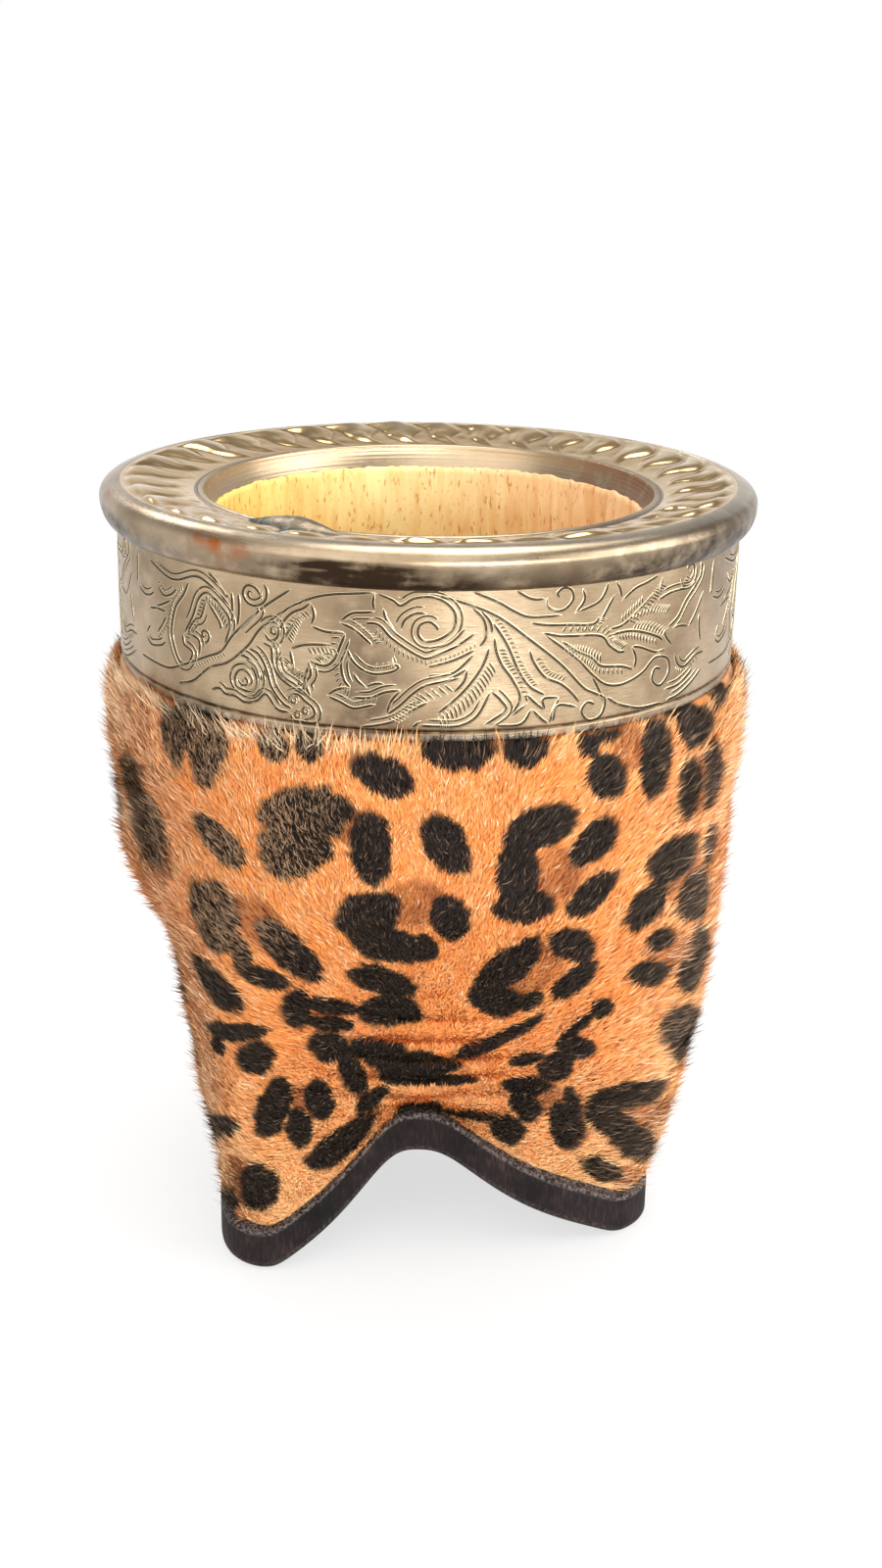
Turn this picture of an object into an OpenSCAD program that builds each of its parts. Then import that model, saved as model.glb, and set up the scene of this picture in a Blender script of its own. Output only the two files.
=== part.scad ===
// Mate cup: a dried gourd in a short-haired hide sleeve, drawn in to three feet
// on a thick bent leather sole, with a nickel-silver collar and a lobed rim.
// Millimetres, +Z up, feet on z = 0, axis of the cup on Z.

/* [Overall] */
// Height from the floor to the top of the rim bead
height = 106; // [102:1:112]
// Diameter over the rim bead
rim_d = 86; // [83:0.5:90]

/* [Rim] */
// Radius of the half-round rim bead
bead_r = 2.65; // [2.3:0.05:3]
// How far the bead stands out from the band
bead_out = 2.1; // [1.7:0.05:2.4]
// Width of the flange between the bead and the mouth lip
flange_w = 9.85; // [8:0.05:11.5]
// Wall of the mouth lip at its foot
lip_t = 2.3; // [1.8:0.1:2.8]
// Height of the lip above the rim of the gourd
lip_h = 4.3; // [3.8:0.1:5.6]
// Rise of the lip's crest above the flange
lip_rise = 0.75; // [0.7:0.05:1.1]
// Radius of the lip's crest
crest_r = 0.5; // [0.35:0.05:0.6]
// Depth of the flange's outer edge below the top of the bead
flange_drop = 0.3; // [0.1:0.1:0.9]
// Dish of the flange from its outer to its inner edge
flange_dish = 1.9; // [0.3:0.1:2.2]
// Thickness of the flange at its inner edge
flange_t = 0.8; // [0.6:0.1:1.2]
// Number of lobes raised on the flange
lobes = 36; // [30:1:40]
// Height of a lobe above the flange
lobe_h = 0.5; // [0.3:0.05:0.9]
// Turn of a lobe between the inner and outer margin, in degrees
lobe_slant = 9; // [6:1:16]
// Plain margin beside the lobes
lobe_margin = 1.3; // [1.2:0.1:2]
// Width of the solder fillet between lip and flange
solder_w = 0.4; // [0.3:0.05:0.6]
// Width of its thicker run
solder_run_w = 1; // [0.7:0.05:1.2]
// Length of the thicker run of solder, in degrees
solder_run = 22; // [12:1:40]

/* [Collar] */
// Height of the band below the flange
band_h = 20.5; // [18:0.1:24]
// Sheet thickness of the band
band_t = 1; // [0.8:0.1:1.4]
// Height of the plain border under the line on the band
border_h = 1.3; // [0.9:0.1:2]
// Radius of the line cut above the border
border_line_r = 0.25; // [0.15:0.05:0.35]

/* [Gourd] */
// Wall of the gourd at its belly
gourd_t = 8; // [6:0.25:9]
// Wall of the gourd at its bottom
gourd_bottom_t = 8.5; // [6:0.25:10]
// Distance from the band down to the widest part of the gourd
belly_drop = 12.5; // [9:0.5:15]
// Swell of the belly beyond the neck
belly_out = 1.9; // [1.4:0.1:2.4]
// Play between the gourd and the hide
gourd_play = 0.3; // [0.2:0.05:0.5]

/* [Hide] */
// Thickness of the hide
hide_t = 2; // [1.6:0.1:2.2]
// Puff of the hide below the band
hide_puff = 0.3; // [0:0.1:0.8]
// Length of hide tucked under the band
hide_tuck = 9; // [6:0.5:11]
// Play between the hide and the band
hide_play = 0.15; // [0.1:0.05:0.2]
// Distance from the band down to where the hide leaves the round
round_drop = 20.5; // [17:0.5:23]
// Draw of the hide at that height
round_in = 0.8; // [0.4:0.1:1.2]
// Slackness of the drawn-in folds above each arch
fold_depth = 1; // [0:0.1:1.4]
// Depth of the tuck in the hide above one side arch
tuck_depth = 4.3; // [0:0.1:4.6]
// Direction of that tuck
tuck_at = 186; // [178:1:194]
// Half of the angle that it spans
tuck_half = 39; // [30:1:42]

/* [Sole] */
// Thickness of the sole
sole_t = 6; // [5:0.25:7]
// Radius from the axis to the tip of a foot
foot_r = 34.3; // [32:0.1:35.5]
// Radius from the axis to the sole between two feet
notch_r = 20.5; // [19.5:0.1:24]
// Height of the arch between two feet
arch_h = 16.2; // [13:0.1:18]
// Height of the middle of the sole's underside
crown_h = 14.5; // [12:0.1:16]
// Ledge of the sole outside the hide
ledge = 1.6; // [1:0.1:2.4]
// Lean of each arch towards one foot, as a share of its span
arch_lean = 0.12; // [0:0.01:0.16]

/* [Hidden] */
$fn = 96;
turn = 96;
rim_r = rim_d / 2;
bead_mid_r = rim_r - bead_r;
band_r = rim_r - bead_out;
band_in_r = band_r - band_t;
lip_r = bead_mid_r - flange_w;
mouth_r = lip_r - lip_t;
flange_edge_z = height - flange_drop;
flange_in_z = flange_edge_z - flange_dish;
flange_low_z = flange_in_z - flange_t;
crest_z = flange_in_z + lip_rise;
lip_low_z = crest_z - lip_h;
band_low_z = flange_low_z - band_h;
border_z = band_low_z + border_h;
hide_top_z = band_low_z + hide_tuck;
hide_neck_r = band_in_r - hide_play;
neck_r = hide_neck_r - hide_t - gourd_play;
belly_z = band_low_z - belly_drop;
belly_r = neck_r + belly_out;
bulge_r = belly_r + gourd_play + hide_t;
round_z = band_low_z - round_drop;
round_r = bulge_r - round_in;
floor_z = crown_h + sole_t;
cavity_low_z = floor_z + gourd_bottom_t;
cavity_r = belly_r - gourd_t;
crown_share = 0.3;
pad_sink = 1;
foot_sink = 5;

function ease(t) = t * t * (3 - 2 * t);
function blend(a, b, t) = a + (b - a) * t;

// Share of the way from one foot to the next, leaned towards the first
function span(a) = let (u = (a - 90) / 120 - floor((a - 90) / 120))
    u + arch_lean * pow(sin(180 * u), 2);
// 1 at a foot, 0 half-way between two feet
function footness(a) = max(0, (1 + cos(360 * span(a))) / 2);
function sole_r(a) = blend(notch_r, foot_r, pow(footness(a), 1.8));
function edge_rise(a) = let (f = footness(a))
    (arch_h + pad_sink) * (1 - pow(f, 1.2)) - pad_sink - foot_sink * pow(f, 16);
// Underside of the bent sole: a flat crown that falls past the floor at each foot and rises to each arch
function under_z(a, r) = let (q = max(0, (r / sole_r(a) - crown_share) / (1 - crown_share)))
    blend(crown_h, edge_rise(a), pow(q, 1.5));
function top_z(a, r) = max(0, under_z(a, r)) + sole_t;

// Lower edge of the hide on the sole
function hem_r(a) = sole_r(a) - ledge;
function hem_z(a) = top_z(a, hem_r(a));
function draw(a) = 1.4 + 0.8 * footness(a);
function hide_slope(a, t) = draw(a) * (round_r - hem_r(a)) / (round_z - hem_z(a))
    * pow(max(0, 1 - t), draw(a) - 1);
function fold(a, t) = fold_depth * pow(1 - footness(a), 3) * sin(800 * t) * pow(1 - t, 4) * min(1, 12 * t);
// Side tuck: steps in below the round, fades towards the sole and to both sides
function tuck(a, t) = let (x = min(1, abs(a - tuck_at) / tuck_half))
    tuck_depth * pow(cos(90 * x), 2) * ease(max(0, min(1, (0.92 - t) / 0.245)))
        * blend(0.5, 1, ease(min(1, t / 0.55))) * ease(min(1, t / 0.12));
function hide_r(a, t) = blend(hem_r(a), round_r, 1 - pow(1 - t, draw(a))) + fold(a, t) - tuck(a, t);
function hide_wall(a, t) = hide_t * sqrt(1 + pow(hide_slope(a, t), 2));
function lining_r(a, t) = hide_r(a, t) - hide_wall(a, t);
function lining_hem_z(a) = top_z(a, lining_r(a, 0));

drawn_rows = [0, 0.04, 0.08, 0.12, 0.17, 0.22, 0.28, 0.35, 0.43, 0.52, 0.63, 0.75, 0.88, 1];
lining_rows = [1, 0.88, 0.75, 0.6, 0.45, 0.32, 0.2, 0.1, 0];
// Height and radius of the round upper part of the hide
round_rows = [
    [blend(round_z, band_low_z, 0.22), blend(round_r, bulge_r, 0.6)],
    [blend(round_z, band_low_z, 0.45), bulge_r + hide_puff * 0.7],
    [blend(round_z, band_low_z, 0.68), bulge_r + hide_puff],
    [blend(round_z, band_low_z, 0.85), bulge_r + hide_puff * 0.3],
    [blend(round_z, band_low_z, 0.93), blend(hide_neck_r, bulge_r, 0.75)],
    [blend(round_z, band_low_z, 0.975), blend(hide_neck_r, bulge_r, 0.4)],
    [band_low_z - hide_play, hide_neck_r],
    [hide_top_z, hide_neck_r]
];

function ring(r, z) = [for (i = [0:turn - 1]) let (a = 360 * i / turn) [r * cos(a), r * sin(a), z]];

// Closed skin over rings of equal count; the last ring joins the first
module ring_skin(rings) {
    n = len(rings[0]);
    m = len(rings);
    polyhedron(
        points = [for (row = rings) each row],
        faces = [for (i = [0:m - 1]) for (j = [0:n - 1])
            let (k = (j + 1) % n, up = (i + 1) % m)
            each [[i * n + j, up * n + j, i * n + k], [up * n + j, up * n + k, i * n + k]]],
        convexity = 8);
}

// Closed skin over rings with a flat face over the first and the last ring
module capped_skin(rings) {
    n = len(rings[0]);
    m = len(rings);
    polyhedron(
        points = [for (row = rings) each row],
        faces = concat(
            [[for (j = [0:n - 1]) j]],
            [[for (j = [0:n - 1]) m * n - 1 - j]],
            [for (i = [0:m - 2]) for (j = [0:n - 1])
                let (k = (j + 1) % n)
                each [[i * n + j, (i + 1) * n + j, (i + 1) * n + k],
                    [i * n + j, (i + 1) * n + k, i * n + k]]]),
        convexity = 8);
}

// Dried gourd: it fills the hide between the feet, and has a hollow of its own curve
module gourd() {
    steps = 20;
    notch_a = [for (i = [0:720]) let (a = 90 + i / 6) if (footness(a) < 0.0005) a][0];
    low = [for (i = [0:steps]) let (t = i / steps)
        [lining_r(notch_a, t) - fold(notch_a, t) - fold_depth * pow(1 - t, 4) - gourd_play,
            blend(lining_hem_z(notch_a), round_z, t)]];
    belly = [for (i = [1:4]) let (t = i / 4)
        [blend(round_r - hide_t - gourd_play, belly_r, 1 - pow(1 - t, 2)), blend(round_z, belly_z, t)]];
    neck = [for (i = [1:6]) let (t = i / 6)
        [blend(belly_r, neck_r, ease(t)), blend(belly_z, band_low_z, t)]];
    throat = [for (i = [0:8]) let (t = i / 8)
        [blend(mouth_r, cavity_r, ease(t)), blend(lip_low_z, belly_z, t)]];
    hollow = [for (i = [1:steps]) let (t = 1 - i / steps)
        [cavity_r * pow(1 - pow(1 - t, 2.2), 0.62), blend(cavity_low_z, belly_z, t)]];
    color("#d9a860")
        rotate_extrude()
            polygon(concat([[0, floor_z], [crown_share * notch_r, floor_z]], low, belly, neck,
                [[neck_r, lip_low_z]], throat, hollow));
}

// Setting cement that fixes the collar on the neck of the gourd
module collar_bedding() {
    color("#c8bfae")
        rotate_extrude()
            polygon([[neck_r, hide_top_z], [band_in_r, hide_top_z], [band_in_r, flange_low_z],
                [lip_r, flange_low_z], [lip_r, lip_low_z], [neck_r, lip_low_z]]);
}

// Hide sleeve: round under the collar, drawn in between the feet down to the sole
module hide_sleeve() {
    outside = [for (t = drawn_rows) [for (i = [0:turn - 1]) let (a = 360 * i / turn, r = hide_r(a, t))
        [r * cos(a), r * sin(a), blend(hem_z(a), round_z, t)]]];
    inside = [for (t = lining_rows) [for (i = [0:turn - 1]) let (a = 360 * i / turn, r = lining_r(a, t))
        [r * cos(a), r * sin(a), blend(lining_hem_z(a), round_z, t)]]];
    rows = len(round_rows);
    upper = [for (row = round_rows) ring(row[1], row[0])];
    upper_in = [for (i = [0:rows - 1]) let (row = round_rows[rows - 1 - i]) ring(row[1] - hide_t, row[0])];
    color("#e8934a")
        ring_skin(concat(outside, upper, upper_in, inside));
}

// Thick leather sole, bent to three feet with an arch between each two, and pared flat under each foot
module sole() {
    shares = [1, 0.82, 0.62, 0.42, crown_share];
    under = [for (i = [0:4]) [for (j = [0:turn - 1]) let (a = 360 * j / turn, r = sole_r(a) * shares[4 - i])
        [r * cos(a), r * sin(a), under_z(a, r)]]];
    seat = [for (r_of = [0:2]) [for (j = [0:turn - 1])
        let (a = 360 * j / turn, r = r_of == 0 ? sole_r(a) : r_of == 1 ? hem_r(a) : lining_r(a, 0))
        [r * cos(a), r * sin(a), top_z(a, r)]]];
    over = [for (i = [1:3]) [for (j = [0:turn - 1])
        let (a = 360 * j / turn, r = blend(lining_r(a, 0), sole_r(a) * crown_share, i / 3))
        [r * cos(a), r * sin(a), top_z(a, r)]]];
    pared = 2 * (foot_sink + pad_sink);
    color("#2e292b")
        difference() {
            capped_skin(concat(under, seat, over));
            translate([-foot_r - ledge, -foot_r - ledge, -pared])
                cube([2 * (foot_r + ledge), 2 * (foot_r + ledge), pared]);
        }
}

// Band of the collar with the line that sets off its lower border
module collar_band() {
    color("#b8ac8c")
        rotate_extrude()
            difference() {
                translate([band_in_r, band_low_z])
                    square([band_t, band_h]);
                translate([band_r, border_z])
                    circle(border_line_r, $fn = 16);
            }
}

// Half-round bead over the edge of the flange and the top of the band
module rim_bead() {
    color("#c3b692")
        rotate_extrude()
            difference() {
                translate([bead_mid_r, height - bead_r])
                    circle(bead_r);
                translate([0, height - 2 * bead_r])
                    square([band_r, flange_low_z - height + 2 * bead_r]);
                square([bead_mid_r, height]);
            }
}

// Dished flange with slanted lobes raised all round
module rim_flange() {
    n = lobes * 6;
    in_r = lip_r + lobe_margin;
    out_r = bead_mid_r - lobe_margin / 2;
    edge_r = lip_r / cos(180 / n);
    radii = [bead_mid_r, for (i = [0:5]) blend(out_r, in_r, i / 5), lip_r + solder_run_w, edge_r];
    function plain_z(r) = blend(flange_in_z, flange_edge_z,
        max(0, (r - lip_r - solder_run_w) / (bead_mid_r - lip_r - solder_run_w)));
    function lobe(a, r) = let (s = max(0, min(1, (r - in_r) / (out_r - in_r))))
        lobe_h * sqrt(max(0, sin(180 * s))) * pow(abs(sin(lobes * (a - lobe_slant * s) / 2)), 0.8);
    base = [for (r = [edge_r, bead_mid_r]) [for (j = [0:n - 1]) let (a = 360 * j / n)
        [r * cos(a), r * sin(a), flange_low_z]]];
    top = [for (r = radii) [for (j = [0:n - 1]) let (a = 360 * j / n)
        [r * cos(a), r * sin(a), plain_z(r) + lobe(a, r)]]];
    color("#bdb08d")
        ring_skin(concat(base, top));
}

// Turned lip of the mouth, with a rounded crest and a funnel down to the gourd
module mouth_lip() {
    crest = [for (i = [0:8]) let (a = 18 * i)
        [lip_r - crest_r + crest_r * cos(a), crest_z - crest_r + crest_r * sin(a)]];
    color("#d6caa6")
        rotate_extrude()
            polygon(concat([[mouth_r, lip_low_z], [lip_r, lip_low_z]], crest,
                [[mouth_r, lip_low_z + lip_h * 0.2]]));
}

// Solder between lip and flange, with one thicker run
module solder_fillet() {
    rise = lip_rise - crest_r;
    color("#8f8a78")
        union() {
            rotate_extrude()
                polygon([[lip_r, flange_in_z], [lip_r + solder_w, flange_in_z],
                    [lip_r, flange_in_z + rise / 2]]);
            rotate([0, 0, 226 - solder_run / 2])
                rotate_extrude(angle = solder_run)
                    polygon([[lip_r, flange_in_z], [lip_r + solder_run_w, flange_in_z],
                        [lip_r, flange_in_z + rise]]);
        }
}

gourd();
collar_bedding();
hide_sleeve();
sole();
collar_band();
rim_bead();
rim_flange();
mouth_lip();
solder_fillet();
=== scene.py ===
"""Looks of the mate cup: a gourd in a spotted short-haired hide, with a chased nickel-silver collar.

Lengths are millimetres until a mesh is made. Angles are degrees from +X towards +Y, seen from above.
"""

import itertools
import logging
from dataclasses import dataclass, field
from enum import Enum

import bmesh
import bpy
import numpy as np
from mathutils import Matrix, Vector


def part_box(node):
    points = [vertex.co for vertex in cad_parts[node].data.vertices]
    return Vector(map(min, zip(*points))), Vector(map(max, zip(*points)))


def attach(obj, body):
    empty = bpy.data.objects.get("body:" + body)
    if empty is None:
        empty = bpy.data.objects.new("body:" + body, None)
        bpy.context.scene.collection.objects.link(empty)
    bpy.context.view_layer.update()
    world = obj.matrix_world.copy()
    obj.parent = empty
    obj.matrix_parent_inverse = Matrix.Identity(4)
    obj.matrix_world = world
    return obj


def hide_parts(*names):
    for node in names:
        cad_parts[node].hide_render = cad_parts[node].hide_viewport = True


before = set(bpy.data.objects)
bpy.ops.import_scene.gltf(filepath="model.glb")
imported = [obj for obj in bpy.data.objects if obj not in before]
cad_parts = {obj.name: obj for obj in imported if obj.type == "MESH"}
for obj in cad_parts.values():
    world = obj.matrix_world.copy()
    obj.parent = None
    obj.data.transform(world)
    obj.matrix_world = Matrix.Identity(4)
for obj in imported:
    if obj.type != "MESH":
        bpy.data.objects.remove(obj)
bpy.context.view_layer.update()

LOG = logging.getLogger("mate_cup")
METRE = 0.001
BODY = "root"
BAKE_MAP = "OFBake"
SEED = 11
RING, FINE_RING = 540, 720  # points round a plain ring, and round one with fine work
HAIR_SPREAD_PX = 1.8  # how far hair carries a mark past its place on the skin
NECK_PLAY = 0.15  # between the bedding and the hide under the band
LEVEL = np.array([1, 1, 0])  # keeps the level part of a vector
Array = np.ndarray
Socket = bpy.types.NodeSocket
Material = bpy.types.Material
Piece = bpy.types.Object
Tree = bpy.types.NodeTree
Node = bpy.types.Node
Pair = tuple[float, float]
Vector3 = tuple[float, float, float]
Value = float | tuple[float, ...]


class Tone(Enum):
    """Colour of a mark on the hide."""

    BLACK = "black"
    BROWN = "brown"


def node_box(node: str) -> tuple[Array, Array]:
    """Lowest and highest corner of a CAD node, in millimetres."""
    low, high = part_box(node)
    return np.array(low) / METRE, np.array(high) / METRE


def linear(code: str) -> Array:
    """Linear red, green and blue, from 0 to 1, of a colour written as #rrggbb."""
    value = np.array([int(code[i:i + 2], 16) for i in (1, 3, 5)]) / 255
    return np.where(value <= 0.04045, value / 12.92, ((value + 0.055) / 1.055) ** 2.4)


def blend(low: Array | float, high: Array | float, share: Array | float) -> Array | float:
    """Straight blend from low at share 0 to high at share 1."""
    return low + (high - low) * share


def ease(share: Array | float, low: float = 0.0, high: float = 1.0) -> Array | float:
    """Smooth step: 0 up to low, 1 from high, with level ends."""
    t = np.clip((share - low) / (high - low), 0, 1)
    return t * t * (3 - 2 * t)


def bell(value: Array, middle: float, half: float) -> Array:
    """Gaussian bell: 1 at the middle, 1/e at the half width."""
    return np.exp(-((value - middle) / half) ** 2)


def unit(vectors: Array) -> Array:
    """Vectors scaled to a length of 1 along the last axis."""
    return vectors / np.maximum(np.linalg.norm(vectors, axis=-1, keepdims=True), 1e-9)


def polar(angle: Array, radius: Array, height: Array) -> Array:
    """Points from angles in degrees, radii and heights, which broadcast together."""
    angle, radius, height = np.broadcast_arrays(np.deg2rad(angle), radius, height)
    return np.stack([radius * np.cos(angle), radius * np.sin(angle), height], -1)


def turned(points: Array) -> Array:
    """Angles of points round the cup, in degrees."""
    return np.rad2deg(np.arctan2(points[..., 1], points[..., 0]))


def wrapped(angle: Array) -> Array:
    """Angles brought between -180 and 180 degrees."""
    return (angle + 180) % 360 - 180


def grain(points: Array, scale: float, seed: int = 0) -> Array:
    """Value noise: hashed numbers on a cubic lattice, blended with a cubic ease between its corners.

    Args:
        points: places to read, with x, y and z along the last axis.
        scale: spacing of the lattice.
        seed: picks one of many fields.

    Returns:
        Values from -1 to 1, one for each place.
    """
    place = np.asarray(points, float) / scale + 4096.0
    cell = np.floor(place).astype(np.int64)
    t = place - cell
    t = t * t * (3 - 2 * t)
    total = np.zeros(place.shape[:-1])
    for corner in itertools.product((0, 1), repeat=3):
        at = cell + np.array(corner)
        key = at[..., 0] * 73856093 ^ at[..., 1] * 19349663 ^ at[..., 2] * 83492791 ^ (seed + 1) * 2654435
        key = (key ^ (key >> 13)) * 1274126177 & 0xFFFFFFFF
        key = (key ^ (key >> 16)) & 0xFFFF
        total += np.prod(np.where(corner, t, 1 - t), -1) * key / 0xFFFF
    return 2 * total - 1


@dataclass
class Skin:
    """A surface before it becomes a Blender mesh.

    points are millimetres, faces hold point numbers, uv has one place for each face corner, marks are
    named values or colours for each point, and normals replace the mesh's own.
    """

    points: Array
    faces: Array
    uv: Array
    marks: dict[str, Array] = field(default_factory=dict)
    normals: Array | None = None

    def mesh(self, name: str, weld: bool) -> bpy.types.Mesh:
        """Write the surface into a Blender mesh, in metres.

        Args:
            name: name of the mesh.
            weld: whether points that coincide become one, which closes poles.

        Returns:
            The mesh, smooth shaded.
        """
        mesh = bpy.data.meshes.new(name)
        count, sides = self.faces.shape
        mesh.vertices.add(len(self.points))
        mesh.vertices.foreach_set("co", (self.points * METRE).astype(np.float32).ravel())
        mesh.loops.add(count * sides)
        mesh.loops.foreach_set("vertex_index", self.faces.astype(np.int32).ravel())
        mesh.polygons.add(count)
        mesh.polygons.foreach_set("loop_start", np.arange(0, count * sides, sides, dtype=np.int32))
        mesh.polygons.foreach_set("use_smooth", np.ones(count, dtype=bool))
        layer = mesh.uv_layers.new(name=BAKE_MAP)
        layer.uv.foreach_set("vector", self.uv.astype(np.float32).ravel())
        for mark, values in self.marks.items():
            self.add_mark(mesh, mark, values)
        mesh.update(calc_edges=True)
        if weld:
            shape = bmesh.new()
            shape.from_mesh(mesh)
            bmesh.ops.remove_doubles(shape, verts=shape.verts, dist=1e-7)
            shape.to_mesh(mesh)
            shape.free()
        mesh.validate()
        if self.normals is not None:
            mesh.normals_split_custom_set_from_vertices(self.normals.astype(np.float32))
        return mesh

    @staticmethod
    def add_mark(mesh: bpy.types.Mesh, mark: str, values: Array) -> None:
        """Store one value or colour for each point as an attribute.

        Args:
            mesh: mesh that gets the attribute.
            mark: name of the attribute.
            values: one number, or red, green and blue, for each point.
        """
        if values.ndim == 1:
            layer = mesh.attributes.new(mark, "FLOAT", "POINT")
            layer.data.foreach_set("value", values.astype(np.float32))
            return
        layer = mesh.attributes.new(mark, "FLOAT_COLOR", "POINT")
        colours = np.concatenate([values, np.ones((len(values), 1))], 1)
        layer.data.foreach_set("color", colours.astype(np.float32).ravel())


def ring_skin(rings: Array, closed: bool = True) -> Skin:
    """Skin over rings of points: each ring closes round, and the last ring may join the first.

    Args:
        rings: points by ring and by place along the ring. Outer walls run upwards, inner walls downwards.
        closed: whether the last ring joins the first.

    Returns:
        Quads that face outwards, with the ring's turn along u and the rings along v.
    """
    rows, cols = rings.shape[:2]
    last = rows if closed else rows - 1
    i, j = np.meshgrid(np.arange(last), np.arange(cols), indexing="ij")
    up, side = (i + 1) % rows, (j + 1) % cols
    faces = np.stack([i * cols + j, i * cols + side, up * cols + side, up * cols + j], -1)
    across = np.stack([j, j + 1, j + 1, j], -1) / cols
    along = np.stack([i, i, i + 1, i + 1], -1) / last
    uv = np.stack([across, along], -1)
    return Skin(rings.reshape(-1, 3), faces.reshape(-1, 4), uv.reshape(-1, 2))


def turn_angles(count: int) -> Array:
    """Evenly spaced angles round one turn, in degrees."""
    return np.arange(count) * 360 / count


def put(name: str, skin: Skin, finish: Material, stands_for: str | None = None,
        weld: bool = False) -> Piece:
    """Make a piece of the cup and report it.

    Args:
        name: name of the piece.
        skin: its surface.
        finish: its material.
        stands_for: CAD node that it replaces.
        weld: whether poles and seams are welded.

    Returns:
        The new object.
    """
    piece = to_scene(name, skin.mesh(name, weld))
    piece.data.materials.append(finish)
    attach(piece, BODY)
    if stands_for:
        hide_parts(stands_for)
    LOG.info("%s: about %d triangles", name, (skin.faces.shape[1] - 2) * len(piece.data.polygons))
    return piece


def to_scene(name: str, data: bpy.types.ID) -> Piece:
    """New object with this mesh, lamp or camera, linked to the scene.

    Args:
        name: its name.
        data: its mesh, lamp or camera.

    Returns:
        The object.
    """
    made = bpy.data.objects.new(name, data)
    bpy.context.scene.collection.objects.link(made)
    return made


def aim(thing: Piece, axes: tuple[Array, Array, Array], place: Array | Vector3) -> None:
    """Turn and place a lamp or camera.

    Args:
        thing: the object.
        axes: its directions to the right, up and back.
        place: its place, in metres.
    """
    matrix = np.eye(4)
    matrix[:3, :3] = np.stack(axes, 1)
    matrix[:3, 3] = place
    thing.matrix_world = Matrix(matrix.tolist())


def blank_tree(owner: Material | bpy.types.World) -> Tree:
    """Node tree of a material or world, switched on and emptied.

    Args:
        owner: the material or world.

    Returns:
        The tree.
    """
    owner.use_nodes = True
    owner.node_tree.nodes.clear()
    return owner.node_tree


def new_node(tree: Tree, kind: str, **sockets: Value) -> Node:
    """Add a shader node.

    Args:
        tree: tree that gets it.
        kind: its type, without ShaderNode in front.
        sockets: plain numbers or colours of its inputs; an underscore in a name stands for a space.

    Returns:
        The node.
    """
    node = tree.nodes.new("ShaderNode" + kind)
    for name, value in sockets.items():
        node.inputs[name.replace("_", " ")].default_value = value
    return node


def fill_ramp(node: Node, stops: tuple[tuple[float, Array | Vector3], ...]) -> None:
    """Set a colour ramp's stops.

    Args:
        node: the ramp.
        stops: places from 0 to 1, each with a linear colour.
    """
    points = node.color_ramp.elements
    while len(points) < len(stops):
        points.new(0.5)
    for point, (at, colour) in zip(points, stops):
        point.position = at
        point.color = (*colour, 1)


def join_all(tree: Tree, *pairs: tuple[Socket, Socket]) -> None:
    """Link outputs to inputs, pair by pair."""
    for source, target in pairs:
        tree.links.new(source, target)


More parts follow.
